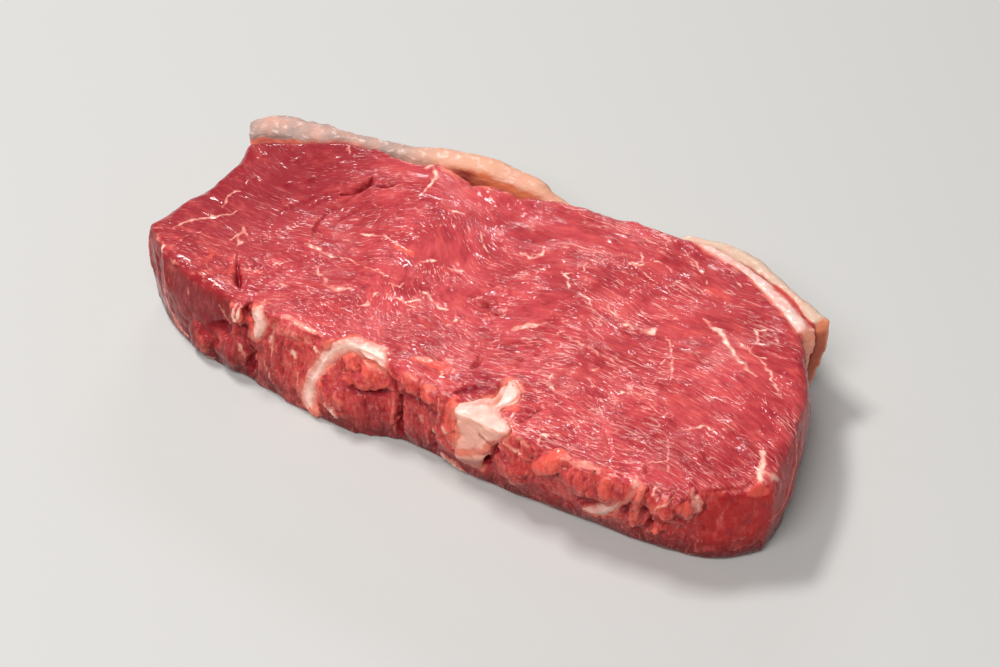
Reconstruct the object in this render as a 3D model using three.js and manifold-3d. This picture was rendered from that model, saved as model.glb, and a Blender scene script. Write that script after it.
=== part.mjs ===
// A raw sirloin steak lying flat: one thick slice of lean beef, the strip of fat along its back edge, and
// the fat and gristle that the knife laid bare in its front side.
// Millimetres, +Z up. +X runs along the steak, +Y points at the fat strip, and the steak stands on Z = 0.
import * as THREE from "three";
import { mergeVertices } from "three/addons/utils/BufferGeometryUtils.js";
import { SimplexNoise } from "three/addons/math/SimplexNoise.js";
import Module from "manifold-3d";

const wasm = await Module();
wasm.setup();

// ---------- driving dimensions ----------
const THICKNESS = 26;
const SHOULDER = 2.6; // height over which the top face rounds into the side
const HEEL = 1.6; // height over which the side rounds under to the foot
const BELLY = 1.4; // how far the side swells between foot and shoulder
const GAP = 0.3; // room between two tissues that touch
const WEDGE_GAP = 0.5; // the same round the wedge, measured level, because its sides slant
const CENTRE = [-0.54, -1.42]; // moves the middle of the steak's box onto the origin

// The slice seen from above, at its top face: front and back run left to right, left and right run front
// to back.
const RIM = {
  front: [
    [-90, -27], [-80, -34], [-68, -37.4], [-50, -38.7], [-30, -39.3], [-11, -36.6], [0, -39.6],
    [22, -41.5], [36, -43.6], [62, -42.4], [75, -38.5], [87, -30.8], [93.5, -24],
  ],
  back: [
    [-89, 16], [-76, 23], [-62, 30.3], [-45, 31.8], [-20, 35.6], [2, 39.6], [24, 43], [45, 41.4],
    [59, 36.6], [70, 29.8], [79, 22],
  ],
  left: [[-90, -27], [-87, -12], [-85.4, 0], [-86, 10], [-89, 16]],
  right: [[93.5, -24], [91.5, -14], [89, -4], [86, 9.5], [79, 22]],
};
// The same slice where it meets the board. The front leans out on the left and tucks under on the right.
const FOOT = {
  front: [
    [-89.6, -28], [-79, -35.6], [-66, -39.8], [-50, -41.4], [-27, -43.8], [-15, -43.2], [-3, -38.8],
    [14, -39.2], [31, -39.4], [52, -37.6], [71, -36], [85, -32], [93, -24],
  ],
  back: [
    [-87, 14.5], [-62, 28.5], [-40, 31.4], [-20, 34.6], [2, 38.2], [24, 41.6], [45, 40], [59, 35],
    [77, 20.5],
  ],
  left: [[-89.6, -28], [-88, -12], [-85, 0], [-84.6, 9], [-87, 14.5]],
  right: [[93, -24], [93, -14], [90.4, -4], [86, 8.5], [77, 20.5]],
};
// Where the fat strip hangs free of the lean, the lean's back edge falls away from it.
const SLIT = { from: -38, to: -3, width: 4, depth: 12 };

// Fat strip: [x, y] of its inner face at the rim, then its thickness and the height of its top edge.
const STRIP = [
  [-89.6, 17.4, 7.2, 26.6], [-83.6, 22, 8.6, 27.4], [-72, 25.8, 7.6, 27.2], [-61, 30.6, 4.4, 26.4],
  [-50, 32.8, 4.6, 26.2], [-40, 34.2, 7, 27.4], [-26, 36.4, 8, 28], [-12, 38, 6.4, 27],
  [-2, 39.6, 3.4, 23.4], [10, 41.6, 3.6, 17], [24, 43.8, 3.4, 18], [36, 43.4, 3, 25.8],
  [48, 42.6, 5, 26.6], [58, 39.2, 5, 26.6], [68, 34.4, 4.8, 26.6], [73.6, 31.4, 5.4, 27],
  [76.4, 29.4, 6.8, 27],
];
// White band between the lean and the strip: [x, y] of its inner face, its thickness and its top edge.
const BAND = [
  [36, 42.2, 1.6, 25.8], [44, 41.2, 2.8, 26.2], [54, 38, 4, 26.2], [63, 33.6, 4.8, 26.2],
  [69.4, 29.2, 5.6, 26.2], [74.2, 25.2, 6.8, 26],
];
const STRIP_FOOT = 0.3;
const BAND_FOOT = 7;
const TUCK = 0.45; // share of its thickness that a strip keeps at the foot

// Fat laid bare in the front side: [x, y, z] along each, with its width, and how far it runs inward.
const SEAM = {
  path: [
    [-7.4, -38.2, 23.8], [-9.6, -38.2, 24.8], [-12.6, -38.2, 25.1], [-16, -38.2, 25.3], [-19, -38.5, 25],
    [-22, -39.3, 22.9], [-24.4, -40.4, 19], [-26.6, -41.5, 13.6], [-28.4, -42.2, 8.2], [-28.6, -42.9, 4.2],
    [-26, -43.6, 1.6],
  ],
  widths: [2.4, 3.8, 3.4, 2.6, 2.8, 3, 3.2, 3.6, 4, 3.6, 1.8],
  depth: 9,
  steps: 24,
};
const SLIVER = {
  path: [
    [66.8, -40.4, 25], [65.4, -41, 21.6], [62.4, -40.4, 17.2], [58.6, -39.8, 12], [54.8, -39.2, 7.6],
    [51.6, -39.4, 7.6],
  ],
  widths: [2.6, 1.2, 1, 2, 2.2, 1],
  depth: 5,
  steps: 12,
};
const NUB = {
  path: [[-46.6, -38.6, 25], [-44.8, -39.4, 22.6], [-45.4, -39.8, 19], [-47, -39.6, 15.6]],
  widths: [2.6, 3.4, 2.6, 1],
  depth: 5,
  steps: 6,
};
// Gristle wedge: its outline and its middle on the top face, and the share of both that is left at the
// bottom, drawn in towards its root.
const WEDGE = {
  outline: [
    [16.8, -40.8], [20.2, -37.2], [23.2, -33.8], [22.6, -30.3], [22.4, -27.6], [24.6, -27.4], [27.2, -30],
    [28, -32.8], [26.6, -35], [26, -36.8], [26.8, -38.8], [30.4, -40.8], [31.8, -42.4], [30, -44],
    [24, -43.8], [17.4, -43.8], [16, -42.3],
  ],
  root: [14.8, -40.6],
  heart: [24, -37.8],
  top: 26.2,
  bottom: 6.5,
  share: 0.5,
  steps: [44, 5],
};

// Lobes of muscle that swell out of the front side: [centre], [half sizes].
const LOBES = [
  [[-62.5, -38.4, 5.4], [3.8, 2.7, 4.9]],
  [[-53.4, -38.9, 7.4], [4.3, 2.9, 7.2]],
  [[-52.2, -38.6, 22.8], [2.2, 2.1, 3.2]],
  [[-40, -38.2, 10.6], [5.8, 3.4, 9.8]],
  [[-20.8, -39.9, 8.8], [7.4, 4.1, 8.3]],
  [[-13.4, -38.4, 18.6], [5, 2.7, 3]],
  [[-9.2, -38.2, 7], [5.4, 3.1, 6.6]],
  [[-2.4, -37.6, 23], [2.9, 2.7, 2]],
  [[2.4, -38.4, 22.2], [2.8, 2.7, 2.2]],
  [[2.2, -37.9, 9.2], [3.9, 2.6, 8.6]],
  [[7, -39, 22], [2.2, 2.2, 3]],
  [[11.6, -39.4, 13.6], [3.2, 2.5, 9.2]],
  [[19.6, -38.4, 3.4], [7.4, 2.6, 3.1]],
  [[33.2, -40.8, 15.4], [5.4, 2.4, 8.6]],
  [[43.6, -41.8, 20.8], [5.4, 2.8, 3.8]],
  [[51.4, -41.8, 19.8], [4.4, 2.6, 4.6]],
  [[58.4, -40.6, 20], [3.8, 2.4, 4.6]],
  [[73.8, -37.6, 19], [5, 3.3, 5.4]],
  [[79.2, -35.6, 20.2], [1.9, 2, 3]],
];
// Clefts between them: [middle], [half width, depth, half height], lean of the cleft in degrees.
const CLEFTS = [
  [[-58, -40.6, 8.2], [0.8, 2.8, 7], 4],
  [[-48.2, -41, 7.4], [0.8, 2.8, 6.4], 6],
  [[-3.8, -40.6, 10], [0.9, 4.6, 10], 2],
  [[6.9, -40.6, 9.6], [0.9, 3.4, 9], 2],
  [[27.6, -42.6, 14.4], [0.8, 3.2, 7.4], -12],
  [[56, -41.8, 18.6], [0.6, 2.2, 5.4], -6],
  [[68.4, -40.4, 17.4], [0.8, 3.4, 7.4], -14],
];
// Cracks that opened in the top face: [from], [to], half width, depth.
const CRACKS = [
  [[-60.6, -27], [-53.4, -35], 0.55, 1.3],
  [[-52.8, 9], [-50.6, 20.4], 0.8, 1.8],
  [[-49.6, 16.8], [-43.6, 21.4], 0.5, 1.2],
  [[-49.8, 8.4], [-51.8, -2], 0.45, 1],
  [[32.6, -40.6], [35.6, -29.6], 0.45, 1.1],
];

// ---------- helpers ----------
function seeded(seed) {
  let state = seed;
  return () => {
    state = (state + 0x6d2b79f5) | 0;
    let t = Math.imul(state ^ (state >>> 15), 1 | state);
    t = (t + Math.imul(t ^ (t >>> 7), 61 | t)) ^ t;
    return ((t ^ (t >>> 14)) >>> 0) / 4294967296;
  };
}

const noise = new SimplexNoise({ random: seeded(11) });
const lumpy = (p, size) => noise.noise3d(p.x / size, p.y / size, p.z / size);
const smooth = (a, b, x) => THREE.MathUtils.smoothstep(x, a, b);
const point = ([x, y, z = 0]) => new THREE.Vector3(x, y, z);
const line = (points) => new THREE.CatmullRomCurve3(points.map(point));

// Numbers given at even steps along a line, read off smoothly at t from 0 to 1.
function along(numbers, t) {
  const place = t * (numbers.length - 1);
  const low = Math.min(Math.floor(place), numbers.length - 2);
  return THREE.MathUtils.lerp(numbers[low], numbers[low + 1], smooth(0, 1, place - low));
}

// A box whose every vertex is moved to place(u, v, w), where u, v and w run from 0 to 1 across it.
function shapedBox([nu, nv, nw], place) {
  const box = new THREE.BoxGeometry(1, 1, 1, nu, nv, nw);
  const position = box.attributes.position;
  for (let i = 0; i < position.count; i++) {
    const p = place(position.getX(i) + 0.5, position.getY(i) + 0.5, position.getZ(i) + 0.5);
    position.setXYZ(i, p.x, p.y, p.z);
  }
  return welded(box);
}

// The same surface with its shared vertices joined, so that it can be cut and displaced as one skin.
function welded(geometry) {
  geometry.deleteAttribute("normal");
  geometry.deleteAttribute("uv");
  const skin = mergeVertices(geometry, 1e-4);
  skin.computeVertexNormals();
  return skin;
}

// Moves every vertex outward by swell(p), and none below the board.
function swollen(skin, swell) {
  const { position, normal } = skin.attributes;
  for (let i = 0; i < position.count; i++) {
    const p = new THREE.Vector3().fromBufferAttribute(position, i);
    const n = new THREE.Vector3().fromBufferAttribute(normal, i);
    p.addScaledVector(n, swell(p));
    position.setXYZ(i, p.x, p.y, Math.max(p.z, 0));
  }
  return skin;
}

// A closed skin as a solid that can be cut and joined, and back.
function solid(skin) {
  return new wasm.Manifold(
    new wasm.Mesh({
      numProp: 3,
      vertProperties: skin.attributes.position.array,
      triVerts: new Uint32Array(skin.index.array),
    }),
  );
}

function geometryOf(made) {
  const { vertProperties, triVerts } = made.getMesh();
  const geometry = new THREE.BufferGeometry();
  geometry.setAttribute("position", new THREE.BufferAttribute(new Float32Array(vertProperties), 3));
  geometry.setIndex(new THREE.BufferAttribute(new Uint32Array(triVerts), 1));
  geometry.computeVertexNormals();
  return geometry;
}

// ---------- the slice of lean ----------
function sidesOf(outline) {
  const sides = Object.entries(outline).map(([side, points]) => [side, line(points)]);
  return Object.fromEntries(sides);
}

const rim = sidesOf(RIM);
const foot = sidesOf(FOOT);
const OUTWARD = { front: 1, right: 1, back: -1, left: -1 }; // each line's right is out, or its left

// How far the side stands out at height z: full in the belly, rounded over the top and under the foot.
function sideSwell(z) {
  const share = z / THICKNESS;
  const over = THREE.MathUtils.clamp((z - (THICKNESS - SHOULDER)) / SHOULDER, 0, 1);
  const under = THREE.MathUtils.clamp((HEEL - z) / HEEL, 0, 1);
  const shoulder = SHOULDER * (0.3 - (1 - Math.sqrt(1 - over * over))) * smooth(0.3, 0.9, share);
  const heel = HEEL * (1 - Math.sqrt(1 - under * under));
  return BELLY * 4 * share * (1 - share) + shoulder - heel;
}

// How far the back edge falls away from the hanging fat, at x and height z.
function slitAt(x, z) {
  const reach = (x - SLIT.from) / (SLIT.to - SLIT.from);
  if (reach <= 0 || reach >= 1) return 0;
  return SLIT.width * Math.sin(Math.PI * reach) * smooth(THICKNESS - SLIT.depth, THICKNESS, z);
}

// A point of the slice's edge: t along one side, at height z.
function edgePoint(side, t, z) {
  const p = foot[side].getPointAt(t).lerp(rim[side].getPointAt(t), z / THICKNESS);
  const run = rim[side].getTangentAt(t);
  const out = new THREE.Vector3(run.y, -run.x, 0).multiplyScalar(OUTWARD[side]);
  const slit = side === "back" ? slitAt(p.x, z) : 0;
  return p.addScaledVector(out, sideSwell(z) - slit);
}

// The slice is filled in between its four sides. Its rings lie closer together near foot and shoulder.
function leanPoint(u, v, w) {
  const z = THICKNESS * (0.5 - 0.5 * Math.cos(Math.PI * w));
  const p = new THREE.Vector3();
  p.addScaledVector(edgePoint("front", u, z), 1 - v).addScaledVector(edgePoint("back", u, z), v);
  p.addScaledVector(edgePoint("left", v, z), 1 - u).addScaledVector(edgePoint("right", v, z), u);
  p.addScaledVector(edgePoint("front", 0, z), -(1 - u) * (1 - v));
  p.addScaledVector(edgePoint("front", 1, z), -u * (1 - v));
  p.addScaledVector(edgePoint("back", 0, z), -(1 - u) * v).addScaledVector(edgePoint("back", 1, z), -u * v);
  p.z = z;
  return p;
}

// The bare slice, uneven as cut meat is, and larger all round by grow.
function slice(grow) {
  const uneven = (p) => smooth(0.5, 4, p.z) * (0.5 * lumpy(p, 22) + 0.4 * lumpy(p, 9));
  return solid(swollen(shapedBox([46, 18, 7], leanPoint), (p) => uneven(p) + grow));
}

function lobe([centre, sizes]) {
  const ball = new THREE.SphereGeometry(1, 12, 7);
  ball.scale(...sizes).translate(...centre);
  return solid(swollen(welded(ball), (p) => 0.25 * lumpy(p, 4)));
}

// A cleft is a thin upright diamond pushed into the side.
function cleft([middle, [halfWidth, depth, halfHeight], lean]) {
  const diamond = new THREE.OctahedronGeometry(1);
  diamond.scale(halfWidth, depth, halfHeight).rotateY(THREE.MathUtils.degToRad(lean)).translate(...middle);
  return solid(welded(diamond));
}

// A crack is the same diamond laid along the top face.
function crack([from, to, halfWidth, depth]) {
  const [a, b] = [point(from), point(to)];
  const run = b.clone().sub(a);
  const diamond = new THREE.OctahedronGeometry(1);
  diamond.scale(run.length() / 2, halfWidth, depth).rotateZ(Math.atan2(run.y, run.x));
  diamond.translate((a.x + b.x) / 2, (a.y + b.y) / 2, THICKNESS + 0.2);
  return solid(welded(diamond));
}

// ---------- the fat strip and the white band ----------
// Pulls in the corners of a square that runs from -1 to 1.
function roundedSquare(a, b) {
  const pull = 0.22;
  return [a * (1 - pull * b ** 6), b * (1 - 0.4 * pull * a ** 6)];
}

// A point of a line, which runs on straight for a little way past both ends.
function pointAlong(curve, u, past) {
  return curve.getPoint(u).addScaledVector(curve.getTangent(u), past * (2 * u - 1) ** 9);
}

// A strip that stands on edge along a line: u runs along it, v from its inner face outward and w upward.
// Its inner face starts inside the lean, which then cuts it, and less so at the lean's shoulder.
function standingStrip(stations, steps, bottom, overlap, grow) {
  const inner = line(stations.map(([x, y]) => [x, y]));
  const place = (u, v, w) => {
    const p = pointAlong(inner, u, grow);
    const run = inner.getTangent(u);
    const out = new THREE.Vector3(-run.y, run.x, 0);
    const [a, b] = roundedSquare(2 * v - 1, 2 * w - 1);
    const top = along(stations.map((station) => station[3]), u) + grow;
    const height = THREE.MathUtils.lerp(Math.max(0, bottom - grow), top, (b + 1) / 2);
    const inside = THREE.MathUtils.lerp(overlap.side, overlap.shoulder, smooth(0.6, 0.9, height / top));
    const thickness = along(stations.map((station) => station[2]), u);
    const end = thickness * THREE.MathUtils.lerp(TUCK, 1, smooth(0, 0.8, height / top)) + grow;
    p.z = height;
    return p.addScaledVector(out, THREE.MathUtils.lerp(-inside - grow, end, (a + 1) / 2));
  };
  return solid(swollen(shapedBox(steps, place), (p) => 0.35 * lumpy(p, 6) * smooth(1, 4, p.z)));
}

// ---------- fat and gristle in the front side ----------
// A ribbon that follows a line on the front side and runs inward, lower as it goes.
function ribbon({ path, widths, depth, steps }, grow) {
  const middle = line(path);
  const proud = 1; // it stands out of the lean a little
  const place = (u, v, w) => {
    const p = pointAlong(middle, u, grow);
    const run = middle.getTangent(u);
    const across = new THREE.Vector3(-run.z, 0, run.x).normalize();
    const [a, b] = roundedSquare(2 * v - 1, 2 * w - 1);
    const inward = THREE.MathUtils.lerp(-proud - grow, depth + grow, (a + 1) / 2);
    const drop = 0.35 * Math.max(0, inward) * smooth(10, 25, p.z);
    p.addScaledVector(across, b * (along(widths, u) / 2 + grow));
    return p.add(new THREE.Vector3(0, inward, -drop));
  };
  return solid(swollen(shapedBox([steps, 2, 2], place), (p) => 0.15 * lumpy(p, 4)));
}

// The wedge keeps its outline on the top face and shrinks downward towards its root. It is a tube whose
// every ring is that outline, drawn in and moved out by grow.
function wedge(grow) {
  const outline = new THREE.CatmullRomCurve3(WEDGE.outline.map(point), true);
  const tube = new THREE.CylinderGeometry(1, 1, 1, ...WEDGE.steps);
  const position = tube.attributes.position;
  for (let i = 0; i < position.count; i++) {
    const [x, h, z] = [position.getX(i), position.getY(i) + 0.5, position.getZ(i)];
    const turn = THREE.MathUtils.euclideanModulo(-Math.atan2(x, z) / (2 * Math.PI), 1);
    const keep = THREE.MathUtils.lerp(WEDGE.share, 1, h ** 1.4);
    const run = outline.getTangent(turn);
    const ring = point(WEDGE.root).lerp(outline.getPoint(turn), keep);
    ring.add(new THREE.Vector3(-run.y, run.x, 0).multiplyScalar(grow));
    const p = point(WEDGE.root).lerp(point(WEDGE.heart), keep).lerp(ring, Math.min(1, Math.hypot(x, z)));
    p.z = THREE.MathUtils.lerp(WEDGE.bottom - grow, WEDGE.top + grow, h);
    position.setXYZ(i, p.x, p.y, p.z);
  }
  return solid(swollen(welded(tube), (p) => 0.15 * lumpy(p, 5)));
}

// ---------- the steak ----------
// The lean with its lobes, clefts and cracks, and a pocket for each tissue that the knife laid bare.
function lean() {
  let made = slice(0);
  for (const spec of LOBES) made = made.add(lobe(spec));
  for (const spec of CLEFTS) made = made.subtract(cleft(spec));
  for (const spec of CRACKS) made = made.subtract(crack(spec));
  for (const spec of [SEAM, SLIVER, NUB]) made = made.subtract(ribbon(spec, GAP));
  return made.subtract(wedge(WEDGE_GAP));
}

const strip = () => standingStrip(STRIP, [42, 2, 5], STRIP_FOOT, { side: 2.4, shoulder: 0.1 }, 0);
const band = (grow) => standingStrip(BAND, [16, 2, 4], BAND_FOOT, { side: 2.4, shoulder: 1.3 }, grow);

const part = new THREE.Group();
function add(name, made, finish) {
  const mesh = new THREE.Mesh(geometryOf(made), new THREE.MeshStandardMaterial(finish));
  mesh.name = name;
  mesh.position.set(...CENTRE, 0);
  part.add(mesh);
}

const redMeat = { color: 0xa83236, roughness: 0.35, metalness: 0 };
const creamFat = { color: 0xe8c9a8, roughness: 0.4, metalness: 0 };
const whiteFat = { color: 0xecd9cc, roughness: 0.4, metalness: 0 };

add("lean", lean(), redMeat);
add("fat_cap", strip().subtract(slice(GAP)).subtract(band(GAP)), creamFat);
add("fat_band", band(0).subtract(slice(GAP)), whiteFat);
add("fat_seam", ribbon(SEAM, 0), creamFat);
add("fat_sliver", ribbon(SLIVER, 0), whiteFat);
add("fat_nub", ribbon(NUB, 0), whiteFat);
add("gristle", wedge(0), whiteFat);

export default part;
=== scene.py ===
# %% [markdown]
# # A raw sirloin steak
# The steak is one thick slice of lean beef with a strip of fat along its back edge. The knife also laid
# some fat and a wedge of gristle bare in its front side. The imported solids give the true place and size
# of every tissue, and this script gives each of them its skin: relief modelled in the mesh, and a wet,
# fibrous or waxy finish.

import math
from types import SimpleNamespace

import bmesh
import bpy
import numpy as np
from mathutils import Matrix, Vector, noise
from mathutils.bvhtree import BVHTree


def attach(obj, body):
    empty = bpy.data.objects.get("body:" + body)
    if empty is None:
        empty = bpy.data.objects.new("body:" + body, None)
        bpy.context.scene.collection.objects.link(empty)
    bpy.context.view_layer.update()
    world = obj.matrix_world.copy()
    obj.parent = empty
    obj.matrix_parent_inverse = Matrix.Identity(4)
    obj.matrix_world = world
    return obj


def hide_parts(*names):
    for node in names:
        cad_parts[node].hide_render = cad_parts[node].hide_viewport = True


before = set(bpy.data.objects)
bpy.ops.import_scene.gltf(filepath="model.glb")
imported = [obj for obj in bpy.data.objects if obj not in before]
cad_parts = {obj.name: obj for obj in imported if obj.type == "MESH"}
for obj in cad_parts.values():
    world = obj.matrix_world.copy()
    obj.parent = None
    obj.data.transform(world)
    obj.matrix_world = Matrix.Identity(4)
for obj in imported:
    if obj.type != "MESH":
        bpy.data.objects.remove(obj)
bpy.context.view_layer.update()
print("solids:", sorted(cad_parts))

# %% [markdown]
# ## The camera
# A long lens well above the table sees the top of the slice and its front side. The camera is placed by
# its heading, its tilt and its distance from a point inside the steak. It is set up first, because
# everything else is judged through it.

# %% Camera
MM = 0.001
HEADING = math.radians(32)
TILT = math.radians(43)
DISTANCE = 0.617  # metres, along the line of sight
AIM = Vector((-2.75, -3.4, 14)) * MM
AIM_PIXEL = (480, 320)  # where the aim point shows
FRAME_SIZE = (1000, 667)
LENS = 85  # millimetres, as is the sensor's width
SENSOR = 36


def set_up_camera():
    """A camera without shift, placed so that AIM shows at AIM_PIXEL."""
    data = bpy.data.cameras.new("camera")
    data.lens = LENS
    data.sensor_width = SENSOR
    camera = bpy.data.objects.new("camera", data)
    bpy.context.scene.collection.objects.link(camera)
    camera.rotation_euler = (math.radians(90) - TILT, 0, HEADING)
    turn = camera.rotation_euler.to_matrix()
    pixels = FRAME_SIZE[0] * LENS / SENSOR
    right = (AIM_PIXEL[0] - FRAME_SIZE[0] / 2) / pixels
    down = (AIM_PIXEL[1] - FRAME_SIZE[1] / 2) / pixels
    camera.location = AIM - DISTANCE * (turn @ Vector((right, -down, -1)))
    bpy.context.scene.camera = camera
    return camera


camera = set_up_camera()
print("camera stands at", [round(c, 3) for c in camera.location])

# %% [markdown]
# ## An even skin over a solid
# The solids are faceted, with long thin triangles where they were cut. Splitting those would keep their
# uneven shapes. A voxel remesh turns a copy of a solid into even small squares instead, which can then
# be smoothed and pushed about like clay. Only the parts that are seen need the finest squares, so those
# are split once more afterwards.

# %% Skins
def linked(name, mesh):
    """A new object that holds the mesh, in the scene."""
    piece = bpy.data.objects.new(name, mesh)
    bpy.context.scene.collection.objects.link(piece)
    return piece


def skin_over(node, name, voxel, smoothing):
    """A closed, even skin over a copy of one solid. voxel is the side of its squares in millimetres."""
    bm = bmesh.new()
    bm.from_mesh(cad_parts[node].data)
    bmesh.ops.remove_doubles(bm, verts=bm.verts, dist=0.001 * MM)
    rough = bpy.data.meshes.new(name + "_rough")
    bm.to_mesh(rough)
    bm.free()
    piece = linked(name, rough)
    remesh = piece.modifiers.new("even squares", "REMESH")
    remesh.mode = "VOXEL"
    remesh.voxel_size = voxel * MM
    graph = bpy.context.evaluated_depsgraph_get()
    mesh = bpy.data.meshes.new_from_object(piece.evaluated_get(graph))
    piece.modifiers.clear()
    piece.data = mesh
    mesh.name = name
    soften(piece, smoothing)
    return piece


def soften(piece, rounds, where=None):
    """Evens out the skin. where picks the points that may move, and all of them may without it."""
    bm = bmesh.new()
    bm.from_mesh(piece.data)
    points = [v for v in bm.verts if where is None or where(v.co / MM, v.normal)]
    for _ in range(rounds):
        bmesh.ops.smooth_vert(
            bm, verts=points, factor=0.5, use_axis_x=True, use_axis_y=True, use_axis_z=True)
    bm.to_mesh(piece.data)
    bm.free()


def split_squares(piece, where):
    """Splits every square whose middle and normal where() accepts into four."""
    bm = bmesh.new()
    bm.from_mesh(piece.data)
    faces = [f for f in bm.faces if where(f.calc_center_median() / MM, f.normal)]
    edges = list({e for f in faces for e in f.edges})
    bmesh.ops.subdivide_edges(bm, edges=edges, cuts=1, use_grid_fill=True)
    bm.to_mesh(piece.data)
    bm.free()
    piece.data.polygons.foreach_set("use_smooth", [True] * len(piece.data.polygons))


# %% [markdown]
# ## Pushing the skin about
# All relief is made the same way: read the points and normals as arrays in millimetres, work out how
# far each point moves along its normal, and write them back. Nothing goes below the table. Sculpting by
# hand would do it too, but numbers can be changed one at a time and give the same steak every run.

# %% Relief
def points_of(piece):
    flat = np.empty(len(piece.data.vertices) * 3)
    piece.data.vertices.foreach_get("co", flat)
    return flat.reshape(-1, 3) / MM


def normals_of(piece):
    flat = np.empty(len(piece.data.vertices) * 3)
    piece.data.vertices.foreach_get("normal", flat)
    return flat.reshape(-1, 3)


def push(piece, heights, sag=0):
    """Moves every point along its normal by its height, and down by its sag, in millimetres."""
    points = points_of(piece) + normals_of(piece) * heights[:, None]
    points[:, 2] = np.maximum(points[:, 2] - sag, 0)
    piece.data.vertices.foreach_set("co", (points * MM).ravel())
    piece.data.update()


def bumps(points, size, seed):
    """Soft noise from -1 to 1 with lumps of about the given size, one number or one for each axis."""
    scaled = points / np.asarray(size, float) + seed * 7.31
    return np.array([noise.noise(Vector(p)) for p in scaled])


def ramp(low, high, x):
    """A smooth step: 0 up to low and 1 from high on, or the other way round where high is the lower."""
    t = np.clip((x - low) / (high - low), 0, 1)
    return t * t * (3 - 2 * t)


def save(piece, name, values):
    """Keeps one number, or three, for each point, so that a material can read them."""
    wide = values.ndim == 2
    layer = piece.data.attributes.new(name, "FLOAT_VECTOR" if wide else "FLOAT", "POINT")
    layer.data.foreach_set("vector" if wide else "value", np.ravel(values).astype(np.float32))


# %% [markdown]
# ## Strokes
# Cut meat is full of single features: cracks, lips, cords of fibre, pale or dark patches. Each one is a
# stroke along a short line on a face of the steak. A stroke of relief lifts or sinks the skin. A stroke
# of tint leaves a number behind that the material turns into colour or, where it is wet, into a smooth
# film of water. The dark tint is both darker flesh and painted shade in cracks, gaps and under lumps.
# The edges are ragged, because the points are shaken a little before they are measured against the line.

# %% Strokes
TOP = 26.0  # the height of the top face, in millimetres


def away_from_line(places, line):
    """Distance to a line of straight stretches, how far along it from 0 to 1, and which side of it."""
    line = np.asarray(line, float)
    best = np.full(len(places), 1e9)
    along = np.zeros(len(places))
    side = np.ones(len(places))
    for i, (a, b) in enumerate(zip(line[:-1], line[1:])):
        run = b - a
        offset = places - a
        t = np.clip((offset @ run) / (run @ run), 0, 1)
        d = np.linalg.norm(offset - t[:, None] * run, axis=1)
        closer = d < best
        best[closer] = d[closer]
        along[closer] = ((i + t) / (len(line) - 1))[closer]
        side[closer] = np.sign(run[0] * offset[:, 1] - run[1] * offset[:, 0])[closer]
    return best, along, side


def faces_of(points, normals):
    """For each face, the coordinates that count on it and how far each point belongs to it."""
    top = ramp(0.3, 0.7, normals[:, 2]) * ramp(TOP - 5, TOP - 2.5, points[:, 2])
    front = ramp(0.1, 0.4, -normals[:, 1]) * ramp(-20, -26, points[:, 1])
    right = ramp(0.2, 0.6, normals[:, 0]) * ramp(80, 86, points[:, 0])
    return {
        "top": (points[:, :2], top),
        "front": (points[:, [0, 2]], front),
        "right": (points[:, [1, 2]], right),
        "round": (points, np.ones(len(points))),
    }


def shaken(points, far=0.7):
    """The points moved about at random, by up to about far millimetres, one number or one for each."""
    coarse = np.stack([bumps(points, 2.6, s) for s in (61, 62, 63)], 1)
    fine = np.stack([bumps(points, 1, s) for s in (64, 65, 66)], 1)
    return points + far * coarse + 0.5 * far * fine


def arch(along):
    """1 in the middle of a line, falling to about 0.2 at its ends."""
    return np.sin(np.pi * (0.06 + 0.88 * along))


PROFILES = {  # the height of each kind of relief, at t half widths from the line
    "groove": lambda t: 0.1 * np.exp(-((t - 2.4) / 1.2) ** 2) - np.exp(-1.4 * t ** 1.3),
    "ridge": lambda t: np.exp(-t * t),
    "lump": lambda t: np.clip(1 - t ** 3, 0, 1) - 0.1 * np.exp(-((t - 1.1) / 0.25) ** 2),
}
# The dark tint is darker flesh, and painted shade in cracks, gaps, clefts and under lumps.
TINTS = ("pale", "orange", "dark", "wet")


def relief_of(faces, strokes):
    """The height that the strokes of relief give to every point, and how far the lumps sag."""
    raised = np.zeros(len(faces["round"][0]))
    sunk = raised.copy()
    sag = raised.copy()
    for face, kind, half, amount, line in strokes:
        if kind in TINTS:
            continue
        places, share = faces[face]
        distance, along = away_from_line(places, line)[:2]
        taper = arch(along) ** (0.2 if kind == "lump" else 0.5)
        height = amount * taper * share * PROFILES[kind](distance / (half * taper))
        raised = np.maximum(raised, height)
        sunk = np.minimum(sunk, height)
        if kind == "lump":
            sag = np.maximum(sag, 0.3 * height)
    return raised + sunk, sag


def tints_of(faces, strokes):
    """How pale, orange, dark (darker flesh and painted shade) and wet the strokes of tint make every point,
    each from 0 to 1.
    """
    shares = np.zeros((len(faces["round"][0]), len(TINTS)))
    for face, kind, half, amount, line in strokes:
        if kind not in TINTS:
            continue
        places, share = faces[face]
        distance, along, _ = away_from_line(places, line)
        taper = 0.5 + 0.5 * arch(along)
        column = TINTS.index(kind)
        made = amount * share * ramp(1.5, 0.3, distance / (half * taper))
        shares[:, column] = np.maximum(shares[:, column], made)
    return shares


print("strokes of relief:", ", ".join(PROFILES), "and of tint:", ", ".join(TINTS))


# %% [markdown]
# ## The lean
# The lean is muscle: bundles of fibre, cut across on the top and bottom, and showing their full length
# on the sides. Its CAD node is reskinned with 1.2 mm squares, and the top and sides are split once, to
# about 0.6 mm. Where the front rim is smooth, at both ends, it is rounded more first.

# %% Lean skin
LEAN_SQUARE = 1.23  # small enough for the relief, and large enough to stay under 200,000 triangles


def on_smooth_rim(place, normal):
    """The upper front edge, left of the seam of fat and right of the gristle."""
    return place.z > 17 and place.y < -30 and (place.x < -34 or place.x > 33)


def seen(place, normal):
    """All but the underside and the back, which is mostly behind the outer strip of fat."""
    return normal.z > -0.5 and (place.y < 20 or normal.z > 0.4)


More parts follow.
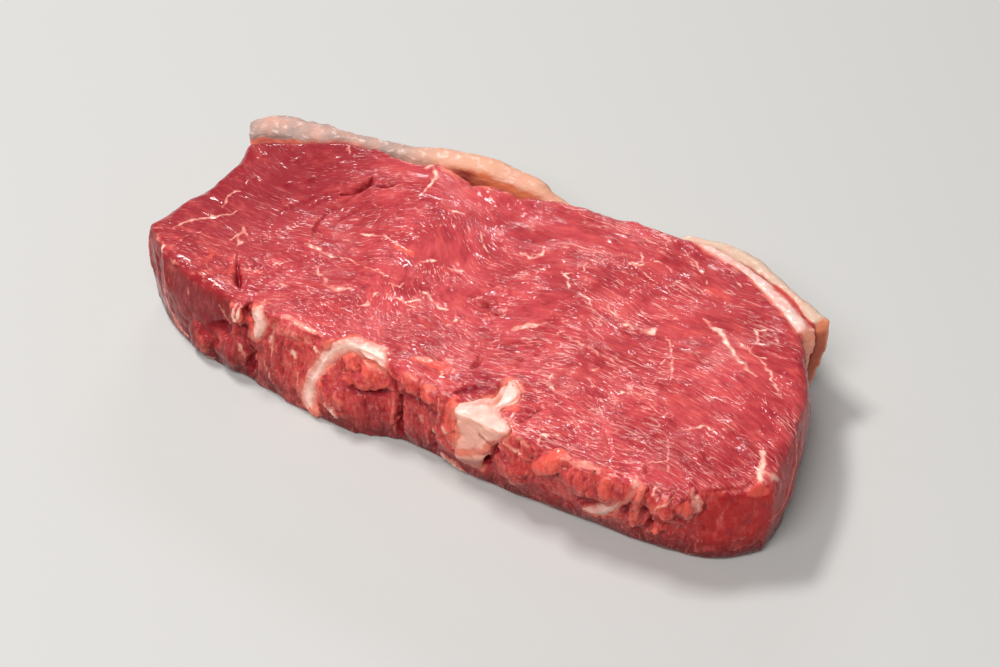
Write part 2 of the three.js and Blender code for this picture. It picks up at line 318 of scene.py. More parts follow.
lean = skin_over("lean", "lean_muscle", LEAN_SQUARE, 3)
soften(lean, 12, on_smooth_rim)
split_squares(lean, seen)
soften(lean, 2)
print("lean skin:", len(lean.data.polygons), "squares")

# %% [markdown]
# ## Marbling
# Thin branching threads of fat run between the muscle bundles. A vein pattern could draw such threads,
# but it can't put the long ones where a sirloin has them. So each is a short line on the top face, with
# its width in the middle. The squares near one are split once more, so that a thread half a millimetre
# wide still shows as a clean line. The script keeps, for each point, how much fat it holds.

# %% Marbling
THREADS = [  # width in the middle, then the line
    (1.2, [(-42.2, -19.9), (-39.7, -21.7), (-36.7, -23.7), (-33.5, -23.4), (-30.8, -21.6), (-27.8, -22.8)]),
    (0.7, [(-25, -26.4), (-23.6, -24.8), (-23.3, -22.7), (-24.2, -19.9), (-23.7, -18.9)]),
    (0.4, [(-23.7, -18.9), (-19.9, -18.8), (-16.1, -18.7), (-12.6, -18.9)]),
    (0.4, [(-22.8, -16.1), (-19.6, -15.1), (-20.2, -13.3)]),
    (0.7, [(-41.5, -4.5), (-40.4, -2.7), (-37.2, -1.5), (-34.2, -0.1), (-30.9, -0.6), (-25.5, -1.1)]),
    (1.2, [(-43.4, -7.4), (-41.6, -6.6)]),
    (1.0, [(-50.1, -13.6), (-47.6, -13.8), (-44.8, -14.6), (-41.9, -14.6), (-39.4, -14)]),
    (0.4, [(-41.9, -14.6), (-37.1, -13.3), (-32.5, -12.6), (-27.8, -12.8), (-22.8, -13.6)]),
    (0.6, [(-84.3, -27.4), (-83, -23.3), (-80.7, -19.9), (-76.8, -17.2), (-74.9, -15), (-74.2, -12.7)]),
    (0.5, [(-77.8, -13.5), (-78.9, -10.4), (-79, -7.9), (-78.1, -5.9)]),
    (0.8, [(-68.3, -23), (-67.8, -20.1), (-67.7, -17.5), (-65.2, -18.9)]),
    (0.6, [(-67.8, -20.1), (-65.4, -22.2), (-65, -24.7)]),
    (0.6, [(-64.1, 24), (-64.2, 25.9), (-62.1, 23.7)]),
    (0.5, [(-52.7, -26.8), (-52.6, -23.8), (-50.5, -21.9)]),
    (0.5, [(-59.5, -30.2), (-56.6, -29.3), (-53.4, -29)]),
    (0.9, [(-47.6, -30), (-45.6, -29.4)]),
    (0.5, [(-44.5, 9.2), (-42.4, 8.7), (-42, 9.9)]),
    (1.1, [(-42.2, 29.1), (-39.3, 30), (-37.1, 28.4), (-35.7, 24.5), (-35.4, 20.5), (-36, 17.9)]),
    (0.9, [(-25.4, 17), (-21.8, 18.4)]),
    (1.1, [(-20.6, -3.4), (-17.8, -1)]),
    (1, [(-13.2, -2.2), (-9.4, -1)]),
    (1.1, [(-13.8, 2.2), (-12.2, 0.6)]),
    (0.5, [(-13.4, 13.7), (-10.1, 10.3), (-7.2, 8.4)]),
    (0.9, [(-13.7, -13.3), (-11.2, -13.8), (-9, -14.6), (-6.9, -15.4), (-4.8, -15.2)]),
    (1, [(-15, -18), (-13.3, -16.4), (-11.7, -16.4)]),
    (1.1, [(-1.6, -20.1), (-0.9, -17)]),
    (1.1, [(-0.5, 13.6), (2.2, 12.9), (4, 13.5), (4.4, 15.6), (3.5, 18.4)]),
    (0.8, [(2.2, 12.9), (2.7, 14.7), (4.6, 15.7)]),
    (0.35, [(6, 10.7), (10.7, 9.5)]),
    (0.8, [(12.4, 12.6), (14.9, 10.7), (17.2, 7.8)]),
    (0.6, [(13.4, 12.4), (15.4, 13.6)]),
    (0.5, [(17.2, 15.6), (16.2, 18), (16.4, 19.4)]),
    (0.5, [(21.6, 7.7), (24.7, 6), (27.5, 3.7)]),
    (1.1, [(12.8, -12.8), (14.4, -10.6), (16.7, -8.3), (18.8, -6.5), (20.8, -6.2)]),
    (0.9, [(26.9, -7.7), (31.1, -8.5), (35, -9.1), (37.1, -10.3)]),
    (0.9, [(28.8, 7.9), (31.2, 6.1), (34.3, 4.7), (37.5, 3.7), (39.4, 3.6)]),
    (1.3, [(26.1, 24.9), (28, 24.2), (29, 26.4)]),
    (0.6, [(29, 26.4), (26.1, 29.8)]),
    (0.5, [(28, 24.2), (31.4, 23.1), (35.3, 21.7)]),
    (0.4, [(29, 26.8), (31, 28.8), (34.1, 29.1), (36.4, 28.3)]),
    (0.5, [(35.6, 37.2), (38.6, 35), (41.5, 33.1), (44.8, 30.3), (46.9, 28)]),
    (0.6, [(51.7, 34.3), (53.5, 32.4), (55, 31.4)]),
    (1.3, [(52, 16.2), (54.7, 15.3), (57.8, 13.7), (60.1, 12.5), (65.5, 8), (68.3, 6), (73.7, 4)]),
    (0.7, [(62.1, 14.6), (64.8, 12.7), (68.2, 11.2), (70.6, 10.8), (72.5, 11.2)]),
    (0.8, [(65, 20), (67, 17.8), (67.5, 14.3), (67.7, 12.1)]),
    (0.4, [(65.9, 19.9), (68, 21.8)]),
    (0.6, [(69.4, 11.1), (73.2, 9.3), (77.4, 5.5), (81.2, 1.7)]),
    (2.6, [(41.4, 3.2), (43.8, 5.8)]),
    (0.9, [(38.7, 25.1), (40.2, 25.6)]),
    (0.6, [(47.2, 5.6), (50.4, 2.1), (52.6, -1), (53.9, -4.2), (56.4, -7.8)]),
    (0.5, [(45.7, 11.3), (45.6, 12.3), (46.8, 12.2)]),
    (0.8, [(47.5, -15.3), (50.1, -16.9), (52.5, -17.3)]),
    (0.5, [(47.5, -19), (47.6, -17.8), (49.8, -17)]),
    (0.9, [(38.6, -14.2), (37.5, -15.8)]),
    (0.5, [(30.1, -21.6), (31.4, -24.6), (33.8, -26.3)]),
    (0.5, [(40.3, -26.9), (41.6, -30.6), (42.6, -33.7)]),
    (1.1, [(38, -41), (39.9, -40), (42.4, -39.4)]),
    (0.6, [(28.7, -37.5), (29.7, -40.6), (31.9, -40.6)]),
    (0.5, [(38.6, -41.5), (39.2, -43.5)]),
    (0.4, [(65.5, -27.2), (68.3, -31.3), (71, -35.8)]),
    (0.4, [(65.4, -35.9), (68.9, -33.3)]),
    (0.5, [(66.9, -21.4), (67.9, -19.8), (70.2, -18.2), (72.9, -17.2)]),
    (1.8, [(86.4, -18), (88.2, -20.6), (89.5, -24.4), (91.1, -27)]),
    (2.2, [(89.3, -24.5), (90.9, -23.3), (92.9, -21.7)]),
]


def fat_threads(points):
    """How much marbling each point holds, from 0 to 1."""
    flat = shaken(points, 0.9)[:, :2]
    patchy = 0.65 + bumps(points, 1.8, 3)
    amount = np.zeros(len(points))
    for width, line in THREADS:
        distance, along, _ = away_from_line(flat, line)
        half = 0.42 * width * (0.35 + 0.65 * arch(along))
        amount = np.maximum(amount, ramp(2.3, 0.1, distance / half))
    on_top = ramp(TOP - 4, TOP - 1.5, points[:, 2])
    return amount * on_top * patchy


def split_near(piece, lines):
    """Splits the squares of the top face that lie within reach of a line; lines holds both for each."""
    close = []
    middles = np.array([f.center[:] for f in piece.data.polygons]) / MM
    for reach, line in lines:
        distance = away_from_line(middles[:, :2], line)[0]
        close.append((distance < reach) & (middles[:, 2] > TOP - 3))
    chosen = np.any(close, axis=0)
    bm = bmesh.new()
    bm.from_mesh(piece.data)
    bm.faces.ensure_lookup_table()
    edges = list({e for i in np.flatnonzero(chosen) for e in bm.faces[i].edges})
    bmesh.ops.subdivide_edges(bm, edges=edges, cuts=1, use_grid_fill=True)
    bm.to_mesh(piece.data)
    bm.free()
    return int(chosen.sum())


near_threads = [(0.5 * width + 0.5, line) for width, line in THREADS]
print("squares split near threads:", split_near(lean, near_threads))

# %% [markdown]
# ## Fibres
# The fibres run along the steak but bend round each other in swirls. Noise that is stretched along
# straight fibres is easy to make, so the swirls bend the places at which the noise is read, and every
# pattern of the relief and of the material follows them.

# %% Fibre direction
# Each swirl turns the fibres near its centre: centre, reach in millimetres, turn in degrees.
SWIRLS = [
    ((-50, 6), 46, 44), ((-80, -10), 32, 32), ((80, 0), 46, -22), ((-28, -30), 26, -14), ((22, -20), 34, 20),
    ((38, 18), 44, -14),
]


def fibre_places(points):
    """Points laid out along the fibres: x runs with them and y across them."""
    places = points.copy()
    places[:, 0] += 3 * bumps(points, 30, 21)
    places[:, 1] += 3 * bumps(points, 26, 22)
    for centre, reach, turn in SWIRLS:
        offset = places[:, :2] - np.array(centre)
        share = 1 - ramp(0.2, 1, np.linalg.norm(offset, axis=1) / reach)
        angle = math.radians(turn) * share
        cos, sin = np.cos(angle), np.sin(angle)
        places[:, 0] = centre[0] + cos * offset[:, 0] + sin * offset[:, 1]
        places[:, 1] = centre[1] - sin * offset[:, 0] + cos * offset[:, 1]
    return places


print(len(SWIRLS), "swirls")

# %% [markdown]
# ## Features of the top face
# The cracks opened where one muscle pulls away from the next, with creases and dark lines leading up to
# them. Beside some the flesh is orange. Raised ridges make up the thin rim of lean that stands in front
# of the outer strip. A few smooth bundles lie proud in the wet, and the light catches them.

# %% Strokes on the top face
TOP_STROKES = [  # face, kind, half width, height or share, line
    # The dark strokes paint shade into the cracks, the grooves and the gap behind the back rim, and darker
    # flesh beside them.
    ("top", "groove", 0.9, 2.6, [(-54.3, 8.1), (-52.4, 10.4), (-51, 13.1), (-50.4, 15.8), (-51.1, 18.9)]),
    ("top", "dark", 0.9, 1, [(-54.3, 8.1), (-52.4, 10.4), (-51, 13.1), (-50.4, 15.8), (-51.1, 18.9)]),
    ("top", "groove", 0.7, 1.8, [(-49.6, 15.8), (-46.9, 17), (-45.1, 18.7), (-44.5, 20)]),
    ("top", "dark", 0.7, 0.9, [(-49.6, 15.8), (-46.9, 17), (-45.1, 18.7), (-44.5, 20)]),
    ("top", "orange", 2, 0.35, [(-56.4, 9.4), (-54.6, 12.6), (-53.4, 18)]),
    ("top", "orange", 1.2, 0.4, [(-49, 18.4), (-46.6, 19.6)]),
    ("top", "dark", 0.5, 0.7, [(-63.1, -11.7), (-63.4, -4.8), (-60.9, 0.7), (-57.9, 6.6), (-55.8, 9.5)]),
    ("top", "dark", 0.6, 0.75, [(-52, -7.4), (-52.8, -1.5), (-52.6, 2.4), (-51.6, 6.7), (-50.9, 10)]),
    ("top", "groove", 0.4, 0.6, [(-58.4, -3), (-57.4, 2), (-54.8, 6.4)]),
    ("top", "dark", 0.5, 0.6, [(-58.4, -3), (-57.4, 2), (-54.8, 6.4)]),
    ("top", "groove", 0.4, 0.6, [(-48.4, -2), (-47.6, 3), (-46, 8)]),
    ("top", "dark", 0.5, 0.6, [(-48.4, -2), (-47.6, 3), (-46, 8)]),
    # A broad dark stroke of painted shade over the left end of the top.
    ("top", "dark", 24, 0.65, [(-84, -4), (-66, 20)]),
    ("round", "ridge", 3, 2.4, [(-42, 31, 24), (-35, 30.6, 24), (-27, 30, 24)]),
    ("round", "ridge", 3, 2.6, [(-27, 30, 24), (-20, 30.6, 24), (-13, 32, 24)]),
    ("round", "ridge", 2.4, 1.2, [(-13, 32, 24), (-7, 34.4, 24)]),
    ("round", "dark", 1.4, 1, [(-37, 33.4, 24.4), (-32, 33.2, 24.4), (-26, 32.6, 24.4)]),
    ("top", "groove", 0.45, 0.7, [(-63.1, -11.7), (-63.4, -4.8), (-60.9, 0.7), (-57.9, 6.6), (-55.8, 9.5)]),
    ("top", "orange", 2.4, 0.4, [(-65.1, -5), (-64.8, -1.2), (-63.4, 1.8)]),
    ("top", "groove", 0.45, 1.1, [(-50.1, -10.5), (-51.6, -8.3), (-52.5, -5.7), (-52.8, -1.5)]),
    ("top", "groove", 0.9, 0.7, [(-52.8, -1.5), (-52.6, 2.4), (-51.6, 6.7), (-50.9, 10)]),
    ("top", "groove", 0.35, 0.9, [(-62.6, -16.3), (-61.1, -18.1), (-59.7, -19.6)]),
    ("top", "groove", 0.5, 1.2, [(-63.3, -26.1), (-58.9, -32.6)]),
    ("top", "groove", 0.9, 2.6, [(-59.8, -31.2), (-57.6, -34), (-55.4, -36)]),
    ("top", "dark", 1, 1, [(-61, -29.6), (-57.6, -34), (-55.4, -36)]),
    ("top", "orange", 1.4, 0.45, [(-64.6, -26.6), (-61, -32.2), (-58.2, -35.6)]),
    ("top", "ridge", 0.8, 0.4, [(-67.8, -33.9), (-68.7, -31.1), (-68.9, -27.7)]),
    ("top", "orange", 1, 0.6, [(-67.8, -33.9), (-68.7, -31.1), (-68.9, -27.7)]),
    ("top", "dark", 8, 0.35, [(-49.5, -3), (-44, 5)]),
    ("top", "groove", 1.4, 0.5, [(-12.5, 12.4), (-9.2, 10.8), (-6, 9.1), (-3.8, 8.3)]),
    ("top", "dark", 2.6, 0.55, [(-12.5, 12.4), (-9.2, 10.8), (-6, 9.1), (-3.8, 8.3)]),
    ("top", "groove", 0.6, 0.7, [(-2.2, -9), (-1.8, -6.2), (-1.1, -3.9)]),
    ("top", "ridge", 1.6, -1, [(2, -7.9), (3.6, -8.2)]),
    ("top", "dark", 2.6, 0.6, [(1.4, -7.6), (4.6, -9)]),
    ("top", "groove", 0.5, 1.2, [(6.2, -10.3), (7.9, -8.1)]),
    ("top", "ridge", 1.4, 0.7, [(2.4, -0.8), (5.6, -2.2)]),
    ("top", "orange", 1.3, 0.8, [(-29.9, -1.4), (-26.6, -1.4), (-23.9, -2.2)]),
    ("top", "orange", 1.4, 0.5, [(-15.6, -3), (-12, -2.6)]),
    ("top", "groove", 0.5, 0.9, [(11, -24.6), (12.1, -27.4), (12.2, -29.7), (11.4, -31)]),
    ("top", "dark", 0.9, 0.5, [(11.4, -25.6), (12.1, -27.4), (12.2, -29.7)]),
    ("top", "groove", 0.5, 0.6, [(20.6, -19.9), (21.1, -22.3), (21.9, -24.3)]),
    ("top", "dark", 0.9, 0.35, [(20.6, -19.9), (21.1, -22.3), (21.9, -24.3)]),
    ("top", "groove", 0.8, 1.2, [(13.2, -39.6), (15.8, -36.8), (18.6, -34)]),
    ("top", "dark", 1.4, 0.9, [(13.2, -39.6), (15.8, -36.8), (18.6, -34)]),
    ("top", "orange", 2.2, 0.8, [(-2.4, -35), (3.6, -34), (9, -33.4)]),
    ("top", "pale", 1.5, 0.7, [(-1.4, -34.6), (1.8, -33.4)]),
    ("top", "pale", 0.7, 0.9, [(4.6, -31.4), (6.6, -30.6)]),
    ("round", "pale", 0.4, 0.9, [(6.4, -33, 26.2), (6.6, -37, 25.4), (6.2, -39.6, 22)]),
    ("round", "pale", 0.35, 0.8, [(9.2, -32.4, 26.2), (9.8, -36, 25.6), (10, -39, 22)]),
    ("top", "pale", 0.9, 0.8, [(13.1, -13.2), (15.4, -10.2), (17.4, -8.4)]),
    ("top", "pale", 1, 0.75, [(25.8, 23.8), (28.6, 25.4)]),
    ("top", "groove", 0.4, 0.7, [(22.6, -18.1), (23.4, -16.5)]),
    ("top", "groove", 0.5, 0.7, [(7.5, -20.8), (8.7, -24.2)]),
    ("top", "dark", 3.8, 0.45, [(17.4, -33.4), (19.2, -31.2)]),
    ("top", "groove", 0.8, 1, [(31.3, -39.6), (32.1, -37.9), (32.8, -34.9), (34, -32.5), (35.5, -30.6)]),
    ("top", "orange", 1.7, 0.95, [(27.6, -37), (28.8, -36)]),
    ("top", "groove", 0.4, 0.6, [(46.4, -28.4), (49.3, -30.5), (52.4, -33.5), (55.8, -37.1), (56.6, -39.4)]),
    ("top", "groove", 0.5, 1.2, [(65, -36.1), (66.6, -39)]),
    ("top", "groove", 0.5, 0.6, [(80.5, -36), (84.9, -32.6), (88.7, -29), (90.4, -27)]),
    ("top", "orange", 2.4, 0.6, [(47.4, 26.3), (50.6, 26.2), (53.8, 26.2)]),
    ("top", "orange", 1.8, 0.5, [(51.2, 8.8), (55.2, 12.7)]),
    ("top", "dark", 11, 0.3, [(46, 29), (58.6, 29), (70, 20)]),
    ("top", "dark", 11, 0.35, [(60, -27), (82, -24)]),
]
WET_RIDGES = [  # smooth bundles that the light catches: half width, height, line
    (0.8, 0.4, [(-0.6, 30), (4, 28.8)]),
    (0.8, 0.4, [(15, 30.8), (19.4, 29.6)]),
    (0.8, 0.4, [(6.4, 11.8), (9.6, 10.8)]),
    (1.5, 0.75, [(31.4, -7.4), (33.8, -8.5), (36, -9.6)]),
    (1.1, 0.55, [(41.8, -4.4), (44.6, -6)]),
    (1.3, 0.6, [(50.4, -1.4), (52.4, -3)]),
    (0.7, 0.4, [(54.4, 4.6), (57.2, 1.4)]),
    (0.7, 0.4, [(52.8, -9.6), (54.8, -11.6)]),
    (0.8, 0.4, [(68.4, 6.4), (71.4, 4.6)]),
    (1.8, 0.9, [(73.2, -14.8), (75.7, -16.2), (77.8, -17.6)]),
    (1.5, 0.75, [(79, -17.6), (82.6, -18.8), (86, -20)]),
    (1.2, 0.6, [(72.6, -25.8), (74, -26.5), (75.8, -27.6)]),
    (1.1, 0.55, [(65.4, -24.5), (66.7, -25.2), (68.2, -26.2)]),
    (0.7, 0.4, [(60.2, -25.3), (62.4, -26.2)]),
    (0.8, 0.4, [(75.6, -34.4), (76.8, -35.2), (78.4, -36)]),
    (0.8, 0.4, [(-23.6, -27.4), (-20.8, -28.2)]),
    (0.9, 0.45, [(-83.1, 8.8), (-81.3, 11)]),
    (0.9, 0.45, [(-74.1, 11.3), (-72.8, 14.2)]),
    (1.1, 0.6, [(-79, -1.8), (-77.5, 1.1)]),
    (1.2, 0.65, [(-66.6, 6.4), (-64.4, 10.3)]),
    (0.8, 0.4, [(-70, 2.3), (-68.4, 4.8)]),
    (0.9, 0.45, [(-84, -27.1), (-82.5, -24.7)]),
    (0.9, 0.45, [(-79.6, -30.1), (-78.4, -27.4)]),
    (0.9, 0.45, [(-77.9, -27.1), (-76.7, -24.5)]),
    (0.8, 0.4, [(-52.4, -12.1), (-48.8, -12.3)]),
    (0.9, 0.45, [(-48.1, -13.2), (-44.9, -13.2)]),
]
for half, height, line in WET_RIDGES:
    TOP_STROKES += [("top", "ridge", half, height, line), ("top", "wet", 1.3 * half, 1, line)]
print(len(TOP_STROKES), "strokes on the top face")

# %% [markdown]
# ## Features of the front side
# The front side was never cut, and no two stretches of it look alike, so noise alone would make it too
# even. It is told from left to right. The left end is a smooth wall under a ragged pale rim, with
# bulges at its foot. Then come a knob, some pale strings, and streaky flesh up to the seam of fat.

# %% Strokes on the left of the front side
LEFT_RIM = [(-86, -30.8, 25.4), (-81.4, -35, 25.2), (-75.9, -37.2, 25.2), (-71.7, -37.9, 25.6),
            (-67.5, -37.6, 25.6), (-62.4, -38.6, 25.6), (-58.4, -39.4, 25.4), (-54.7, -39.8, 25)]
MIDDLE_RIM = [(-44.2, -40, 26), (-40.8, -40.1, 26), (-37.4, -39.3, 25.8), (-34.4, -39.6, 25.6),
              (-30.8, -39.9, 25.8), (-26.6, -40.4, 25.8)]
FRONT_STROKES = [  # face, kind, half width, height or share, line
    # On the sides the dark strokes are mostly painted shade: in grooves, clefts and gaps, and under lumps.
    # The smooth wall on the left, its rim, and the bulges at its foot.
    ("round", "ridge", 1.2, 0.2, LEFT_RIM),
    ("round", "pale", 1, 0.55, LEFT_RIM),
    ("round", "pale", 1.5, 1, [(-82.6, -34.2, 25), (-81.6, -35, 24.6)]),
    ("round", "pale", 1.4, 1, [(-62.6, -38.4, 25.8), (-61.4, -38.6, 25.6)]),
    ("front", "ridge", 0.9, 0.5, [(-90.4, 21), (-90.1, 14), (-87.7, 10.7)]),
    ("front", "pale", 0.6, 0.6, [(-90.4, 21), (-90.1, 14), (-87.7, 10.7)]),
    ("front", "groove", 0.8, 1, [(-84.6, 23), (-84, 16), (-83.4, 8)]),
    ("front", "ridge", 1, 0.6, [(-81.4, 25), (-80, 21.2), (-79, 16.3), (-81.1, 9.3)]),
    ("front", "orange", 1.6, 0.7, [(-82, 12), (-80.6, 7.5), (-77.6, 4), (-72, 2.6)]),
    ("front", "pale", 0.8, 0.7, [(-82, 12), (-80.6, 7.5), (-77.6, 4), (-72, 2.6)]),
    ("front", "pale", 0.6, 0.5, [(-71, 21.5), (-69.6, 17.5)]),
    ("front", "dark", 6, 0.5, [(-71, 18), (-62, 17)]),
    ("front", "pale", 0.8, 0.6, [(-59, 20.4), (-57.6, 18), (-56.2, 16)]),
    ("front", "groove", 1.6, 1.8, [(-62.5, 12.2), (-58.5, 13.6), (-55.5, 15.2)]),
    ("front", "dark", 2.4, 0.8, [(-62.5, 12.2), (-58.5, 13.6), (-55.5, 15.2)]),
    ("front", "lump", 5.6, 1.4, [(-67, 7), (-64.4, 3)]),
    ("front", "orange", 3.2, 0.55, [(-66.6, 7.6), (-63.6, 4.6)]),
    ("front", "pale", 0.8, 0.8, [(-67.5, 3), (-64.5, 1.5), (-61.5, 1.8)]),
    ("front", "lump", 4.8, 1.5, [(-57, 9), (-55.4, 3)]),
    ("front", "lump", 2.2, 1, [(-53.6, 15), (-50.8, 6)]),
    ("front", "pale", 0.6, 0.7, [(-52.6, 12.6), (-50.6, 8)]),
    ("front", "groove", 1, 2.2, [(-49.4, 12), (-48.6, 7), (-49.6, 3)]),
    ("front", "dark", 1.8, 0.9, [(-49.4, 11), (-48.8, 3)]),
    # The knob, and the streaky flesh between the nub and the seam of fat.
    ("front", "lump", 2.7, 2, [(-53.4, 22.6), (-52, 20)]),
    ("front", "orange", 1.5, 0.95, [(-53.8, 19), (-52, 17.8)]),
    ("front", "pale", 0.5, 0.9, [(-53, 24), (-52.4, 21), (-51.6, 23.6)]),
    ("front", "groove", 0.9, 2.2, [(-50, 25.5), (-49.8, 22.5), (-51, 20.2)]),
    ("front", "groove", 0.8, 2, [(-52.6, 16.6), (-51, 17.6), (-50.4, 15.6)]),
    ("front", "dark", 1.3, 0.9, [(-52.6, 16.6), (-51, 17.6), (-50.4, 15.6)]),
    ("front", "orange", 1.2, 0.8, [(-49.6, 21), (-48.6, 19)]),
    ("front", "lump", 1.8, 0.5, [(-43.6, 22), (-43.4, 16), (-44, 8)]),
    ("front", "lump", 1.7, 0.6, [(-40, 21), (-40.4, 14), (-41, 5)]),
    ("front", "lump", 1.7, 0.5, [(-36.6, 19), (-36.4, 13), (-36.4, 5)]),
    ("front", "lump", 1.9, 1.2, [(-37.6, 23.4), (-34.6, 22.6)]),
    ("front", "lump", 1.4, 0.6, [(-33, 18), (-33, 11)]),
    ("front", "pale", 0.6, 0.8, [(-41.4, 21), (-41.8, 16.4), (-41, 13.5)]),
    ("front", "pale", 0.5, 0.8, [(-43.9, 10.5), (-42.2, 5)]),
    ("front", "pale", 0.5, 0.7, [(-32.9, 12.8), (-32.3, 8.4)]),
    ("front", "pale", 1.2, 1, [(-35, 18), (-34, 16.4)]),
    ("front", "pale", 1, 0.9, [(-28.2, 21.5), (-27, 21)]),
    ("front", "orange", 1, 0.95, [(-34.4, 20.6), (-31.4, 20)]),
    ("front", "orange", 1.6, 0.5, [(-34, 12), (-32.8, 6)]),
    ("round", "pale", 1.1, 0.8, MIDDLE_RIM),
    ("front", "pale", 2.6, 0.42, [(-44, 22), (-30, 23)]),
]

# %% [markdown]
# ## Inside the seam of fat
# The seam bends round two bright lumps and a lip of flesh, which hang over a dark smooth hollow.
# To its right the rim breaks up into ragged lips over upright slabs, with deep gaps between them.

# %% Strokes inside the seam, and the slabs
FRONT_STROKES += [
    ("front", "lump", 3.4, 1.1, [(-19, 22), (-16.6, 21.2)]),
    ("front", "orange", 2.8, 1, [(-19.4, 22.4), (-16.4, 21)]),
    ("front", "lump", 3.6, 1.4, [(-13.2, 22), (-10.2, 20.8)]),
    ("front", "orange", 2.8, 0.75, [(-13.2, 21), (-10.2, 20)]),
    ("front", "pale", 1.6, 0.8, [(-13, 23.4), (-10, 23)]),
    ("front", "groove", 0.6, 1.8, [(-15.2, 22), (-14.8, 19.6)]),
    ("front", "dark", 0.9, 1, [(-15, 21), (-14.7, 20)]),
    ("front", "lump", 2, 1.2, [(-18.6, 17.4), (-14.4, 16.8), (-10.8, 17.4), (-7.6, 19.4)]),
    ("front", "orange", 1.5, 0.85, [(-18.4, 17), (-14.4, 16.4), (-10.8, 17), (-7.8, 19)]),
    ("front", "groove", 1, 1.4, [(-18, 14.6), (-14, 14), (-10, 14.8), (-6.4, 17)]),
    ("front", "dark", 1.5, 0.9, [(-17, 14.4), (-14, 14), (-10, 14.8), (-6.4, 17)]),
    # Painted shade in the hollow under the lumps.
    ("front", "dark", 4.6, 0.7, [(-12.4, 9.6), (-7.6, 7.6)]),
    ("front", "lump", 1.9, 0.8, [(-23, 18.6), (-21.8, 15.6)]),
    ("front", "lump", 1.7, 0.7, [(-20, 13.4), (-18.8, 10)]),
    ("front", "lump", 1.6, 0.6, [(-23, 12.4), (-22.6, 8.6)]),
    ("front", "orange", 1.5, 0.9, [(-26, 17.6), (-25.6, 12), (-26, 6)]),
    ("front", "lump", 1, 0.9, [(-23.4, 7.6), (-21.6, 6.6), (-19.9, 5)]),
    ("front", "pale", 1, 1, [(-23.4, 7.6), (-21.6, 6.6), (-19.9, 5)]),
    # The ragged lips, the upright slabs under them and their deep gaps.
    ("front", "groove", 1.3, 3, [(-6.2, 22.5), (-4.8, 20.4), (-4, 18.5)]),
    ("front", "dark", 1.6, 1, [(-5.6, 21.4), (-4.6, 20), (-3.8, 18)]),
    ("front", "lump", 3.4, 1.1, [(-1.4, 24), (2, 24.4)]),
    ("front", "orange", 2.6, 0.7, [(-1, 22.4), (2.2, 22.4)]),
    ("front", "lump", 3.4, 1.4, [(5.6, 24), (7.6, 23.8)]),
    ("front", "orange", 2.6, 0.95, [(5.4, 22.2), (7.6, 22)]),
    ("front", "groove", 0.6, 2.2, [(3.6, 25.6), (3.7, 22), (3.2, 20)]),
    ("front", "groove", 1, 1.4, [(-1.6, 18.8), (3, 19), (8.8, 18.4)]),
    # Painted shade beneath the lips.
    ("front", "dark", 1.8, 0.9, [(-1.6, 18.6), (3, 18.8), (8.8, 18.2)]),
    ("front", "groove", 0.8, 3, [(-2.9, 19), (-3, 12), (-3.4, 3)]),
    ("front", "dark", 1.2, 1, [(-2.9, 19), (-3, 12), (-3.4, 3)]),
    ("front", "groove", 0.7, 2.2, [(7.2, 11), (7, 3)]),
    ("front", "dark", 1, 1, [(7.2, 11), (7, 2.4)]),
    ("front", "dark", 3.4, 0.6, [(1.4, 14.6), (2.4, 6)]),
    ("front", "pale", 0.9, 0.6, [(3.8, 14.6), (4.4, 11.6)]),
    ("front", "lump", 0.9, 0.7, [(8.2, 12.6), (9.2, 12.3)]),
    ("front", "pale", 0.9, 1, [(8.2, 12.6), (9.2, 12.3)]),
    ("front", "pale", 1, 0.7, [(-1.6, 5), (-0.2, 5.2)]),
    ("front", "lump", 1.3, 1, [(10.6, 25), (10.6, 18), (11, 11)]),
    ("front", "pale", 0.4, 0.7, [(9.8, 24), (10, 17)]),
    ("front", "pale", 0.4, 0.6, [(10.2, 13), (10.2, 9)]),
]

# %% [markdown]
# ## Round the gristle
# A collar of orange flesh holds the wedge of gristle on its left. A dark hollow lies under the wedge
# and a deep gap on its right, where a wide block of flesh begins, with a lip along its top.

